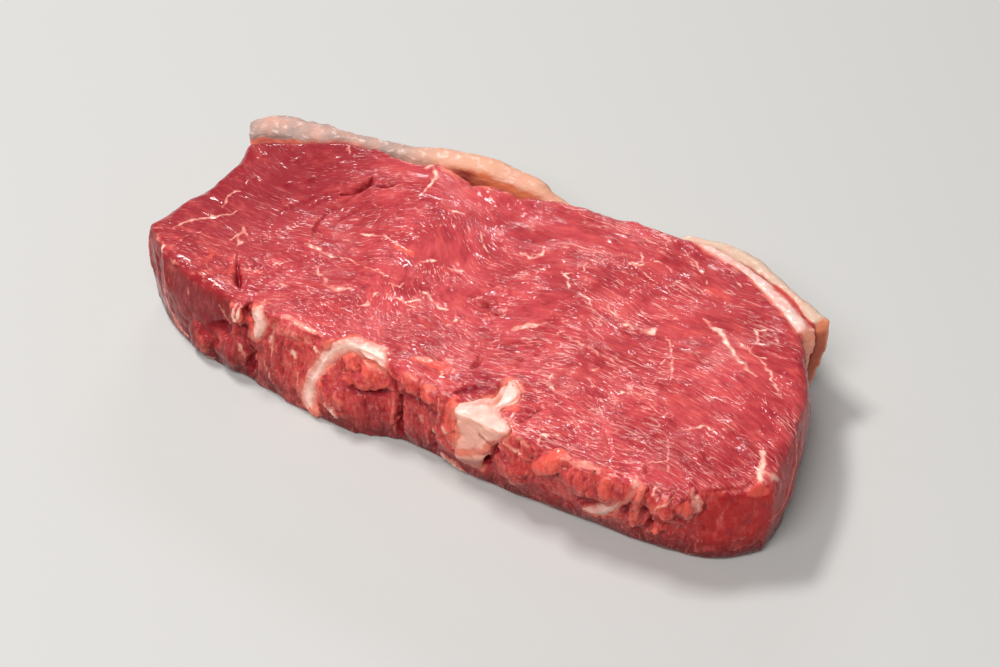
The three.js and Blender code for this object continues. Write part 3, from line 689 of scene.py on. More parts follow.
# %% Strokes round the gristle, and the wide block
FRONT_STROKES += [
    ("front", "lump", 1.9, 1.4, [(13.8, 24.6), (13.2, 20), (13.4, 15), (14.6, 10.6)]),
    ("front", "orange", 2.2, 1, [(13.8, 25), (13.4, 20), (13.6, 15), (14.8, 10)]),
    ("front", "pale", 0.8, 0.7, [(12.2, 17.4), (13, 15.4)]),
    ("front", "groove", 1.3, 2.2, [(15, 8), (19, 8), (23.4, 10), (25.6, 12.6)]),
    # Painted shade in the hollow under the wedge.
    ("front", "dark", 2.6, 0.95, [(15.6, 8), (19, 7.6), (23.4, 9), (25.6, 11.6)]),
    ("front", "lump", 1.7, 0.9, [(10, 3.6), (13, 2), (16.4, 1.6)]),
    ("front", "pale", 1.7, 0.9, [(10, 3.6), (13, 2), (16.4, 1.6)]),
    ("front", "groove", 0.8, 2.6, [(27.6, 22.6), (27.2, 17), (26, 12.5)]),
    ("front", "dark", 1.1, 1, [(27.4, 20), (27, 16), (26, 12.5)]),
    # The wide block, with a lip along its top.
    ("front", "ridge", 5.4, 1.8, [(32, 17), (33, 8)]),
    ("front", "lump", 1.5, 0.9, [(29, 21.8), (32.4, 21.4), (36.4, 19.8)]),
    ("front", "orange", 1.9, 0.75, [(29, 21.6), (32.4, 21), (36.4, 19)]),
    ("front", "pale", 0.6, 0.8, [(29.4, 22.4), (32.4, 22), (35.6, 20.8)]),
    ("front", "pale", 1.2, 0.7, [(29.6, 25), (31, 23.6)]),
    ("front", "pale", 1.2, 0.6, [(33.6, 24.6), (36.6, 23.6)]),
    ("front", "groove", 0.7, 1.8, [(38.4, 21), (38, 16), (38.6, 11)]),
    ("front", "dark", 4, 0.45, [(34, 12), (37, 7)]),
    ("front", "orange", 2.2, 0.4, [(28.4, 16), (28.8, 9)]),
]

# %% [markdown]
# ## The roll, the blocks and the star
# A bright roll of flesh leans against upright blocks, and the sliver of fat lies in the dark hollow
# under them. Beyond the sliver stand some single fibres, and a round lump with a star of fat on it.

# %% Strokes on the right of the front side
STAR_RIM = [(70, -41.2, 24.4), (71.7, -40.8, 25.6), (73.5, -39.9, 26.1), (75.8, -39, 25.3)]
FRONT_STROKES += [
    ("front", "lump", 2.8, 2, [(39.6, 18), (42, 20.8), (44.6, 23.6), (46.6, 25.6)]),
    ("front", "orange", 2.5, 1, [(39.6, 18.4), (42, 21), (44.6, 23.8), (46.6, 25.6)]),
    ("front", "groove", 0.9, 1.6, [(42, 16), (44.6, 19), (46.4, 21.4)]),
    ("front", "dark", 1.2, 0.8, [(42.4, 16.6), (44.4, 18.8), (46, 20.8)]),
    ("front", "lump", 7.6, 1.3, [(48, 21), (58.8, 21.8)]),
    ("front", "groove", 0.5, 0.6, [(50.2, 25), (50.4, 18), (50, 12.5)]),
    ("front", "dark", 0.6, 0.7, [(50.2, 22), (50.4, 18), (50, 12.5)]),
    ("front", "orange", 2, 0.45, [(52.6, 22), (53, 16)]),
    ("front", "groove", 0.5, 0.5, [(56, 25), (56.2, 15)]),
    ("front", "lump", 2.2, 1.3, [(58.3, 23.6), (58.6, 18)]),
    ("front", "orange", 1.6, 0.95, [(58.2, 23.6), (58.6, 17.8)]),
    ("front", "orange", 3, 0.5, [(46, 25), (53, 25), (60, 24)]),
    ("front", "pale", 1.1, 0.6, [(47, 25), (50, 25), (53, 25.2), (55.6, 24.8)]),
    ("front", "groove", 1.6, 1.4, [(49.6, 10.4), (54, 10.4), (58.6, 12.2), (61.4, 14.6)]),
    # Painted shade in the groove under the blocks.
    ("front", "dark", 2.2, 0.95, [(50, 10.6), (54, 10.8), (58.6, 12.4), (61.4, 14.6)]),
    ("front", "pale", 0.8, 0.6, [(42.6, 9), (45.4, 8)]),
    ("front", "pale", 0.6, 0.5, [(30.7, 4.5), (34.5, 3.1), (38.8, 2.9)]),
    # The standing fibres, the round lump with its star of fat, and the ring beside it.
    ("front", "lump", 1.4, 1.4, [(67.6, 24.6), (66.2, 18), (64.4, 9)]),
    ("front", "orange", 1.3, 0.8, [(67.2, 22), (66.2, 18), (64.6, 10)]),
    ("front", "groove", 0.9, 1.8, [(63.8, 17.4), (62.4, 11.6)]),
    ("front", "dark", 1.2, 1, [(63.8, 17.4), (62.4, 11.6)]),
    ("front", "groove", 0.9, 2, [(69, 19), (67.2, 14.8)]),
    ("front", "dark", 1.1, 1, [(68.8, 18.6), (67.2, 14.8)]),
    ("front", "groove", 0.7, 2, [(68.8, 13), (68.2, 7)]),
    ("front", "dark", 0.8, 0.9, [(68.8, 13), (68.2, 7)]),
    ("front", "lump", 5, 1.7, [(70.8, 21), (72.6, 20)]),
    ("front", "orange", 3.8, 0.85, [(70.6, 19.6), (72.6, 19)]),
    ("front", "pale", 0.4, 0.9, [(72, 21.4), (70, 24.2)]),
    ("front", "pale", 0.4, 0.9, [(72, 21.4), (74.6, 23.8)]),
    ("front", "pale", 0.35, 0.8, [(72, 21.4), (71.4, 18)]),
    ("round", "pale", 0.7, 0.8, STAR_RIM),
    ("front", "lump", 3, 1, [(77.2, 24), (77.4, 19.6)]),
    ("front", "orange", 1.7, 0.95, [(77.2, 22.6), (77.2, 20)]),
    ("front", "pale", 1, 0.7, [(78, 24.9), (79.7, 22.6), (79.9, 19.8), (78.2, 17.4)]),
    ("front", "groove", 1.1, 2.4, [(72.6, 15), (75.2, 16.4), (77.4, 16)]),
    ("front", "dark", 1.4, 0.9, [(72.8, 15.2), (75.2, 16.4), (77, 16)]),
    ("front", "lump", 1.8, 1.6, [(69.6, 9), (71.6, 9.8)]),
    ("front", "orange", 1.9, 0.8, [(69.6, 9), (71.6, 9.8)]),
]

# %% [markdown]
# ## The smooth right end
# The last stretch is a smooth wall that runs round the corner, with thin seams of fat in it and a pale
# fork of fat on the rim.

# %% Strokes round the right corner
RIGHT_RIM = [(80.4, -36.8, 24.8), (83.6, -34.6, 24.6), (86.7, -32, 24.6), (89.8, -29.4, 24.2),
             (92.1, -26.9, 24), (93.3, -23.3, 24)]
FRONT_STROKES += [
    ("front", "groove", 0.6, 0.8, [(81.4, 23), (81.4, 18.6), (79.6, 15.6)]),
    ("round", "orange", 1.5, 0.5, RIGHT_RIM),
    ("round", "pale", 1.3, 1, [(87.6, -20, 25.8), (89.2, -23.8, 25.2), (90.6, -26.4, 24.4)]),
    ("round", "pale", 1.1, 0.95, [(89.6, -24.4, 25), (91, -23.4, 24.8), (92.4, -22.2, 24.4)]),
    ("round", "orange", 2.6, 0.9, [(89.8, -29.4, 24), (92.1, -26.9, 23.6)]),
    ("front", "pale", 0.5, 0.5, [(85.3, 18.8), (84.5, 15.5)]),
    ("front", "pale", 0.6, 0.5, [(86.9, 7.9), (89.5, 8.4)]),
    ("right", "ridge", 0.9, 0.6, [(-5.2, 25), (-9.2, 21.8), (-13.4, 16.3), (-17.6, 12.9), (-25.4, 13.1)]),
    ("right", "pale", 0.6, 0.7, [(-5.2, 25), (-9.2, 21.8), (-13.4, 16.3), (-17.6, 12.9), (-25.4, 13.1)]),
    ("right", "ridge", 0.8, 0.5, [(-3, 18.6), (-5, 12), (-11.8, 9.6), (-19, 7)]),
    ("right", "pale", 0.5, 0.6, [(-3, 18.6), (-5, 12), (-11.8, 9.6), (-19, 7)]),
    ("right", "groove", 0.8, 0.8, [(-3, 22), (-8, 17), (-12, 12), (-22, 9.5)]),
]
print(len(FRONT_STROKES), "strokes on the front and right sides")

# %% [markdown]
# ## Relief of the lean
# The knife leaves a nearly flat top with shallow lumps and grooves along the fibres. The front side is
# the natural surface of the muscle: rounded bundles with creases between them. Both are noise whose
# lumps are stretched along the fibres, with the strokes on top. Where the lean meets the fat inside it,
# it swells to close the gap between their solids.

# %% Shape the lean
def nearness(piece, nodes, reach):
    """1 where a point touches one of the nodes, falling to 0 at reach millimetres."""
    share = np.zeros(len(piece.data.vertices))
    for node in nodes:
        bm = bmesh.new()
        bm.from_mesh(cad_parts[node].data)
        tree = BVHTree.FromBMesh(bm)
        bm.free()
        for i, v in enumerate(piece.data.vertices):
            found = tree.find_nearest(v.co, reach * MM)
            if found[3] is not None:
                share[i] = max(share[i], 1 - found[3] / (reach * MM))
    return share


INNER_FAT_NODES = ["fat_seam", "fat_sliver", "fat_nub", "gristle"]


def shape_lean(piece):
    """Pushes the lean's skin out and in, and keeps for each point what its material reads."""
    near_cracks = [(half + 0.6, line) for face, kind, half, amount, line in TOP_STROKES
                   if face == "top" and kind == "groove" and amount > 1]
    print("squares split near cracks:", split_near(piece, near_cracks))
    points, normals = points_of(piece), normals_of(piece)
    strokes = TOP_STROKES + FRONT_STROKES
    places = fibre_places(points)
    top = ramp(0.35, 0.8, normals[:, 2]) * ramp(TOP - 6, TOP - 3, points[:, 2])
    side = ramp(0.75, 0.35, np.abs(normals[:, 2]))
    lifted = ramp(0.3, 3, points[:, 2])

    # The top: broad swells, then bundles, then the ridged fibres, stronger in some patches.
    flesh = 0.4 * bumps(places, (12, 8, 9), 8) + 0.2 * bumps(places, (6, 2.8, 4), 9)
    strong = (0.4 + ramp(-0.1, 0.4, bumps(points, 15, 14))) * (0.35 + 0.65 * ramp(-74, -46, points[:, 0]))
    creases = ramp(0.1, 0, np.abs(bumps(places, (8, 2.2, 5), 15)))
    flesh += strong * (0.1 * bumps(places, (4, 1.3, 3), 10) - 0.16 * creases)

    # The sides: upright bundles and creases, calmer on the smooth walls at both ends.
    calm = 0.4 + 0.6 * ramp(-54, -47, points[:, 0]) * ramp(84, 78, points[:, 0])
    wavy = points + 0.8 * np.stack([bumps(points, 4, s) for s in (5, 6, 7)], 1)
    bundles = 0.5 * bumps(wavy, (3, 3, 8), 11) + 0.16 * bumps(wavy, (1.4, 1.4, 2.8), 12)
    bundles -= 0.7 * ramp(0.08, 0, np.abs(bumps(wavy, (4.4, 4.4, 12), 13)))

    fat = fat_threads(points)
    ragged = 0.4 + 0.5 * ramp(0.1, 0.4, -normals[:, 1:2])
    relief, sag = relief_of(faces_of(shaken(points, ragged), normals), strokes)
    tints = tints_of(faces_of(shaken(points), normals), strokes)
    beside_fat = (0.7 + 0.4 * side) * nearness(piece, INNER_FAT_NODES + ["fat_band"], 3)
    push(piece, (top * flesh + side * calm * bundles + relief + beside_fat) * lifted + 0.04 * fat, sag)
    save(piece, "fibre", fibre_places(points_of(piece)) * MM)
    save(piece, "marbling", fat)
    save(piece, "tint", tints[:, :3])
    save(piece, "wet", tints[:, 3])


shape_lean(lean)
print("lean height:", round(points_of(lean)[:, 2].max(), 2), "mm")

# %% [markdown]
# ## What the skin says about itself
# The material paints shade into recesses and a highlight onto ridges, and muscle pales where it meets fat.
# The script compares each point with a smoothed copy to find hollows, and measures how near the fat lies.

# %% Hollows and neighbours
def hollows(piece, rounds):
    """Below 0 in a recess and above 0 on a ridge, in millimetres."""
    copy = linked("smoothed", piece.data.copy())
    soften(copy, rounds)
    rise = ((points_of(piece) - points_of(copy)) * normals_of(piece)).sum(axis=1)
    bpy.data.objects.remove(copy)
    return rise


save(lean, "hollow", hollows(lean, 14))
save(lean, "by_fat", nearness(lean, ["fat_cap", "fat_band"] + INNER_FAT_NODES, 2.5))
print("hollows and neighbours saved")

# %% [markdown]
# ## Colours and nodes
# Colours are written as sRGB hex, as a picker shows them, and turned to linear once. One small function
# adds a shader node with its settings and its links. The others say what a finish is made of. A pattern
# is noise with lumps of a real size. A mask is a product of smooth steps, each of which rises or falls
# as something goes from one value to another. Paint is a colour laid over what is there, through a mask.

# %% Helpers for materials
def colour(hex_code):
    """A linear colour from its sRGB hex code."""
    parts = [int(hex_code[i:i + 2], 16) / 255 for i in (1, 3, 5)]
    linear = [p / 12.92 if p <= 0.04045 else ((p + 0.055) / 1.055) ** 2.4 for p in parts]
    return (*linear, 1)


def add_node(tree, kind, settings=None, **inputs):
    """Adds a node. An input is a plain value or an output, named by its socket, or by i and its number."""
    node = tree.nodes.new("ShaderNode" + kind)
    for name, value in (settings or {}).items():
        setattr(node, name, value)
    for name, value in inputs.items():
        socket = node.inputs[int(name[1:])] if name[1:].isdigit() else node.inputs[name.replace("_", " ")]
        if isinstance(value, bpy.types.NodeSocket):
            tree.links.new(value, socket)
        else:
            socket.default_value = value
    return node


def new_material(name, **settings):
    """A material with its node tree and its shader, whose sockets start at these settings."""
    material = bpy.data.materials.new(name)
    material.use_nodes = True
    tree = material.node_tree
    shader = tree.nodes["Principled BSDF"]
    for socket, value in settings.items():
        shader.inputs[socket.replace("_", " ")].default_value = value
    return material, tree, shader


def pattern(tree, place, sizes, detail=2.0, roughness=0.5):
    """Noise whose lumps measure sizes, in millimetres along each axis."""
    scale = tuple(1 / (s * MM) for s in sizes)
    moved = add_node(tree, "Mapping", Vector=place, Scale=scale)
    made = add_node(tree, "TexNoise", Vector=moved.outputs[0], Scale=1.0, Detail=detail, Roughness=roughness)
    return made.outputs["Fac"]


def mask(tree, *parts):
    """The product of its parts, each a number, an output or a smooth step.

    A step is (value, low, high), which goes from 0 to 1, or (value, low, high, at_low, at_high).
    """
    result = None
    for part in parts:
        if isinstance(part, tuple):
            value, low, high, *ends = part
            at_low, at_high = ends or (0.0, 1.0)
            step = add_node(tree, "MapRange", {"interpolation_type": "SMOOTHSTEP"}, i0=value, i1=low,
                            i2=high, i3=at_low, i4=at_high)
            part = step.outputs[0]
        if result is not None:
            part = add_node(tree, "Math", {"operation": "MULTIPLY"}, i0=result, i1=part).outputs[0]
        result = part
    return result


def paint(tree, below, above, *parts):
    """Lays one colour over another through a mask of these parts. A colour is a hex code or an output."""
    below, above = [colour(c) if isinstance(c, str) else c for c in (below, above)]
    mixed = add_node(tree, "Mix", {"data_type": "RGBA"}, i0=mask(tree, *parts), i6=below, i7=above)
    return mixed.outputs[2]


def skin_readings(tree):
    """Where a point lies, how far it faces up, and what its skin keeps, as outputs for the materials."""
    place = add_node(tree, "TexCoord").outputs["Object"]
    x, y, z = add_node(tree, "SeparateXYZ", Vector=place).outputs
    normal = add_node(tree, "NewGeometry").outputs["Normal"]
    tint = add_node(tree, "Attribute", {"attribute_name": "tint"}).outputs["Vector"]
    pale, orange, dark = add_node(tree, "SeparateXYZ", Vector=tint).outputs
    return SimpleNamespace(
        place=place, x=x, y=y, z=z, up=add_node(tree, "SeparateXYZ", Vector=normal).outputs[2],
        pale=pale, orange=orange, dark=dark,
        hollow=add_node(tree, "Attribute", {"attribute_name": "hollow"}).outputs["Fac"])


print("one millimetre is", MM, "m, and mid red is", [round(c, 3) for c in colour("#a42c33")])

# %% [markdown]
# ## Red meat
# Raw beef is bright red where air has reached it and paler at the fat, and its folds get painted shade.
# It is moist, so a thin film of water lies over a satin surface and gives small sharp glints, and light
# travels a millimetre or two inside it, red furthest. One image of meat could be wrapped round the
# steak, but its fibres would follow neither the swirls nor the cracks. So the colour is laid down in
# coats, as a painter would: first the flesh, and how it changes from end to end and down the sides.

# %% The flesh and its fibres
def bare_flesh(tree, skin):
    """Deep red patches on the top, painted shade over its left end, a wall that is darker at its left end
    with painted shade at its foot, and a mottle.
    """
    patches = pattern(tree, skin.place, (15, 12, 12), 1)
    red = paint(tree, "#a42c33", "#ba4045", (patches, 0.35, 0.65))
    # Painted shade: the top darkens towards its left end.
    red = paint(tree, red, "#80131e", (skin.x, -40 * MM, -72 * MM, 0, 0.6))
    wall = paint(tree, "#821514", "#cc3c37", (skin.x, -58 * MM, -30 * MM))
    wall = paint(tree, wall, "#ac100e", (skin.x, 60 * MM, 84 * MM))
    # Painted shade at the foot of the wall.
    wall = paint(tree, wall, "#3a0504", (skin.z, 11 * MM, 1 * MM, 0, 0.9))
    red = paint(tree, red, wall, (skin.up, 0.7, 0.2, 0, 0.9))
    red = paint(tree, red, "#d0544e", (skin.mottle, 0.5, 0.72, 0, 0.5))
    return paint(tree, red, "#8a1b26", (skin.mottle, 0.5, 0.28, 0, 0.65))


def fibre_streaks(tree, skin):
    """Lines along the fibres: short on the left of the top, longer on its right, upright on the sides."""
    short = pattern(tree, skin.fibre, (2.2, 0.7, 2.5), 3, 0.65)
    long = pattern(tree, skin.fibre, (3.8, 0.6, 2.5), 3, 0.65)
    upright = pattern(tree, skin.place, (1.1, 1.1, 4), 3, 0.6)
    on_top = add_node(tree, "Mix", i0=skin.long_fibres, i2=short, i3=long).outputs[0]
    return add_node(tree, "Mix", i0=skin.facing_up, i2=upright, i3=on_top).outputs[0]


SWIRL = (-0.02, 0.008, 0.026)  # where the fibres turn end on, so that their lines fade


def with_fibres(tree, skin, red):
    """The streaks, boldest on the right of the top and near its front edge."""
    on_top = mask(tree, (skin.facing_up, 0, 1, 0.25, 0.4))
    on_right = mask(tree, skin.long_fibres, 0.17)
    base = add_node(tree, "Math", {"operation": "ADD"}, i0=on_top, i1=on_right).outputs[0]
    away = add_node(tree, "VectorMath", {"operation": "DISTANCE"}, i0=skin.place, i1=SWIRL).outputs[1]
    right_end = mask(tree, (skin.x, 76 * MM, 86 * MM))
    end_wall = add_node(tree, "Math", {"operation": "SUBTRACT"}, i0=right_end, i1=skin.facing_up).outputs[0]
    bold = mask(tree, base, (away, 8 * MM, 20 * MM, 0.45, 1), (end_wall, 0.3, 1, 1, 0.4),
                (skin.y, -6 * MM, -26 * MM, 0.82, 1.12))
    red = paint(tree, red, "#e3796d", (skin.streak, 0.53, 0.72, 0, 0.92), bold)
    return paint(tree, red, "#72121c", (skin.streak, 0.48, 0.33, 0, 0.7), bold)


# %% [markdown]
# ## Fine fat, painted shade and highlight, and strokes
# Between the threads of marbling lie flecks and hairlines of fat that are too fine for the mesh. They
# are a pattern along the fibres, in clusters. Painted shade darkens the hollows, and a painted highlight,
# broken up by noise, lightens the crests between them. Last come the tints of the strokes and the
# marbling, whose edges are made ragged by adding noise before the mask cuts them.

# %% The coats over the flesh
def with_fine_fat(tree, skin, red):
    """Pale flecks, and hairlines where the fibres are long, in clusters and along the front edge."""
    clusters = mask(tree, (pattern(tree, skin.place, (8, 8, 8), 1), 0.42, 0.62))
    by_front = mask(tree, (skin.y, -8 * MM, -30 * MM, 0, 0.6))
    clusters = add_node(tree, "Math", {"operation": "MAXIMUM"}, i0=clusters, i1=by_front).outputs[0]
    fleck = mask(tree, (pattern(tree, skin.fibre, (2.4, 0.45, 2), 2), 0.59, 0.69))
    web = pattern(tree, skin.fibre, (14, 2.2, 6), 2)
    web = add_node(tree, "Math", {"operation": "SUBTRACT"}, i0=web, i1=0.5).outputs[0]
    web = add_node(tree, "Math", {"operation": "ABSOLUTE"}, i0=web).outputs[0]
    hairline = mask(tree, (web, 0.02, 0.003), skin.long_fibres)
    fine_fat = add_node(tree, "Math", {"operation": "MAXIMUM"}, i0=fleck, i1=hairline).outputs[0]
    return paint(tree, red, "#efb0a6", fine_fat, clusters, skin.facing_up, 0.6)


def with_painted_shade_and_highlight(tree, skin, red):
    """Painted shade, deep red, in the hollows, and a painted highlight on the crests, broken up by noise."""
    # Painted shade in the hollows.
    red = paint(tree, red, "#66040e", (skin.hollow, -0.1, -0.8, 0, 0.9))
    # Painted highlight on the crests.
    crest_highlight = mask(tree, (skin.hollow, 0.05, 0.7), skin.ragged)
    return paint(tree, red, "#e8765f", (crest_highlight, 0.05, 0.5, 0, 0.75))


def roughened(tree, share, noise_output):
    """A share from the skin with noise added, so that a step cuts it with a ragged edge."""
    return add_node(tree, "Math", {"operation": "ADD"}, i0=share, i1=noise_output).outputs[0]


def with_strokes(tree, skin, red):
    """The dark strokes, which are darker flesh and painted shade, the orange and pale strokes, and torn
    fibres on the front side between its smooth ends.
    """
    # The dark strokes: darker flesh, and painted shade in cracks, gaps and under lumps.
    red = paint(tree, red, "#7e0518", skin.dark, 0.8)
    orange = roughened(tree, skin.orange, skin.ragged)
    red = paint(tree, red, "#e85c4a", (orange, 0.75, 1.45, 0, 0.65))
    torn = pattern(tree, skin.place, (0.9, 0.9, 1.8), 3, 0.65)
    on_wall = mask(tree, (skin.facing_up, 0.6, 0), (skin.x, -58 * MM, -46 * MM),
                   (skin.x, 84 * MM, 76 * MM), (skin.z, 3 * MM, 9 * MM, 0.3, 1))
    red = paint(tree, red, "#e6867a", (torn, 0.5, 0.72, 0, 0.4), on_wall)
    red = paint(tree, red, "#7c1a1c", (torn, 0.48, 0.3, 0, 0.5), on_wall)
    pale = roughened(tree, skin.pale, skin.ragged)
    red = paint(tree, red, "#e48b7a", (pale, 0.75, 1.15, 0, 0.65))
    return paint(tree, red, "#f4cdb9", (pale, 1.1, 1.55, 0, 0.85))


def with_marbling(tree, skin, red):
    """Flesh that pales where it meets fat, and the threads, which are less white on the left."""
    by_fat = add_node(tree, "Attribute", {"attribute_name": "by_fat"}).outputs["Fac"]
    marbling = add_node(tree, "Attribute", {"attribute_name": "marbling"}).outputs["Fac"]
    red = paint(tree, red, "#e5806c", (roughened(tree, by_fat, skin.mottle), 0.95, 1.4, 0, 0.7))
    red = paint(tree, red, "#e28f81", (marbling, 0.02, 0.5, 0, 0.6))
    return paint(tree, red, "#f5cdb9", (marbling, 0.4, 1, 0, 0.8), (skin.x, -66 * MM, -36 * MM, 0.35, 1))


# %% [markdown]
# ## The wet surface
# Two bumps make the surface. The lower one is the fibres, finer than the mesh. The upper one belongs to
# the coat, which is the film of water: it is uneven in patches, so that it breaks the light into small
# glints, and smooth on the wet ridges, which give longer ones.

# %% Red meat material
def wet_surface(tree, skin, shader):
    """Bumps the flesh with its fibres, and the coat with the unevenness of the film."""
    fine = pattern(tree, skin.fibre, (2, 0.35, 1), 2)
    height = add_node(tree, "Mix", i0=0.5, i2=skin.streak, i3=fine).outputs[0]
    fibres = add_node(tree, "Bump", Height=height, Strength=0.5, Distance=0.5 * MM)
    tree.links.new(fibres.outputs[0], shader.inputs["Normal"])

    wet = add_node(tree, "Attribute", {"attribute_name": "wet"}).outputs["Fac"]
    patches = mask(tree, (pattern(tree, skin.place, (9, 9, 9), 1), 0.42, 0.62, 0.1, 1.0))
    by_front = mask(tree, (skin.y, -4 * MM, -28 * MM, 0, 0.4))
    uneven = add_node(tree, "Math", {"operation": "ADD"}, i0=patches, i1=by_front).outputs[0]
    uneven = mask(tree, uneven, (skin.x, -70 * MM, -46 * MM, 0.2, 1), (wet, 0.2, 0.7, 1, 0.5))
    film = pattern(tree, skin.fibre, (3, 0.9, 1.5), 1)
    film_bump = add_node(tree, "Bump", Height=film, Strength=uneven, Distance=0.7 * MM)
    tree.links.new(film_bump.outputs[0], shader.inputs["Coat Normal"])


def red_meat():
    """Raw beef: satin, a little translucent, with a thin wet coat of nearly the IOR of water."""
    material, tree, shader = new_material(
        "moist_raw_beef", Roughness=0.5, IOR=1.38, Specular_IOR_Level=0.15, Coat_Weight=0.65,
        Coat_Roughness=0.07, Coat_IOR=1.34, Subsurface_Weight=0.1, Subsurface_Scale=1.0 * MM,
        Subsurface_Radius=(1.0, 0.25, 0.18))
    skin = skin_readings(tree)
    skin.fibre = add_node(tree, "Attribute", {"attribute_name": "fibre"}).outputs["Vector"]
    skin.facing_up = mask(tree, (skin.up, 0.45, 0.8))
    skin.long_fibres = mask(tree, (skin.x, -25 * MM, 25 * MM))
    skin.mottle = pattern(tree, skin.fibre, (4.4, 2.6, 4), 3)
    skin.ragged = pattern(tree, skin.place, (1.3, 1.3, 1.8), 3, 0.6)
    skin.streak = fibre_streaks(tree, skin)

    red = bare_flesh(tree, skin)
    for coat in (with_fibres, with_fine_fat, with_painted_shade_and_highlight, with_strokes, with_marbling):
        red = coat(tree, skin, red)
    tree.links.new(red, shader.inputs["Base Color"])
    wet_surface(tree, skin, shader)
    print(material.name, "has", len(tree.nodes), "nodes")
    return material


def finish_piece(piece, material, node):
    """Gives a piece its material, hangs it on the root body and hides the solid it stands for."""
    piece.data.materials.clear()
    piece.data.materials.append(material)
    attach(piece, "root")
    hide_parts(node)
    triangles = sum(len(f.vertices) - 2 for f in piece.data.polygons)
    print(piece.name, triangles, "triangles")


finish_piece(lean, red_meat(), "lean")

# %% [markdown]
# ## Fat
# Beef fat is firm and waxy. The outer strip has a greyish pink dry skin on the left, turns peach where
# it hangs free of the lean, and is cream on the right. The fat inside the steak is whiter. Every piece
# of fat is reskinned from its own solid, made a little fuller so that it closes the gap to the lean, and
# given soft lumps. What sets single pieces apart comes first: the creases and tints of the wedge of
# gristle, with painted shade at its foot, and the inner side of the outer strip, with painted shade in
# the slit behind it, and of the seam.

# %% What single pieces of fat need
SEAM_LINE = [(-7.4, 23.8), (-12.6, 25.1), (-19, 25), (-22, 22.9), (-24.4, 19), (-26.6, 13.6), (-28.6, 4.2)]
WEDGE_STROKES = [
    # Painted shade along the foot of the wedge.
    ("front", "dark", 2.4, 0.8, [(15, 6), (20, 7.4), (25, 10.4)]),
    ("top", "ridge", 5, -0.9, [(18, -40), (24, -36), (28, -41)]),
    ("front", "orange", 1.8, 1, [(15, 26), (15.6, 21), (15.4, 15), (14.8, 10)]),
    ("front", "orange", 1.9, 0.75, [(16, 10.4), (20, 12), (24.4, 15), (27, 20)]),
    ("front", "lump", 1.6, 0.8, [(22.6, 14), (25, 17.6)]),
    ("front", "groove", 0.5, 1, [(22.8, 21), (25, 19.4), (27.4, 17.8)]),
    # Painted shade in the crease.
    ("front", "dark", 0.5, 0.9, [(22.8, 21), (25, 19.4), (27.4, 17.8)]),
    ("front", "groove", 0.6, 0.6, [(16.4, 23), (17.2, 18.6), (16.6, 14)]),
    ("top", "orange", 1.7, 0.9, [(26.4, -36.4), (28.2, -33.2), (28.4, -30)]),
    ("top", "orange", 1, 0.7, [(15.4, -40.6), (19.4, -37.4)]),
]


def below_edge(points, step=2.0):
    """How far each point lies below the highest point that has about the same x."""
    column = np.round((points[:, 0] - points[:, 0].min()) / step).astype(int)
    highest = np.zeros(column.max() + 1)
    np.maximum.at(highest, column, points[:, 2])
    return highest[column] - points[:, 2]


def pared(node, normals):
    """How much is pared off the front of the seam and the top of the gristle, to lie flush."""
    if node == "fat_seam":
        return 0.7 * ramp(0.3, 0.8, -normals[:, 1])
    if node == "gristle":
        return 0.5 * ramp(0.3, 0.8, normals[:, 2])
    return np.zeros(len(normals))


def inner_side(node, points, normals, tints):
    """How far each point is on the inner side, with the tints of the outer strip's front face: painted shade
    in its slit and low on its inner face, and orange by the lean.
    """
    inward = np.zeros(len(points))
    if node == "fat_seam":
        distance, _, side = away_from_line(points[:, [0, 2]], SEAM_LINE)
        inward = ramp(-0.3, 1.6, distance * side + 0.5 * bumps(points, 2, 33))
    if node == "fat_cap":
        depth = below_edge(points) + 0.8 * bumps(points, 4, 34)
        facing_front = ramp(0.2, 0.7, -normals[:, 1])
        free_of_lean = facing_front * ramp(-44, -30, points[:, 0])
        # Painted shade: the slit between the hanging strip and the lean, and the low part of its inner face.
        slit_shade = ramp(1.8, 2.8, depth) * ramp(-25, -31, points[:, 0])
        tints[:, TINTS.index("dark")] = free_of_lean * np.maximum(slit_shade, 0.8 * ramp(3.2, 5.5, depth))
        on_lean = facing_front * ramp(-44, -52, points[:, 0])
        tints[:, TINTS.index("orange")] = 0.75 * on_lean * ramp(1.6, 3.4, depth)
        inward = free_of_lean * ramp(1.2, 2.4, depth)
    return inward


print(len(WEDGE_STROKES), "strokes on the wedge of gristle")


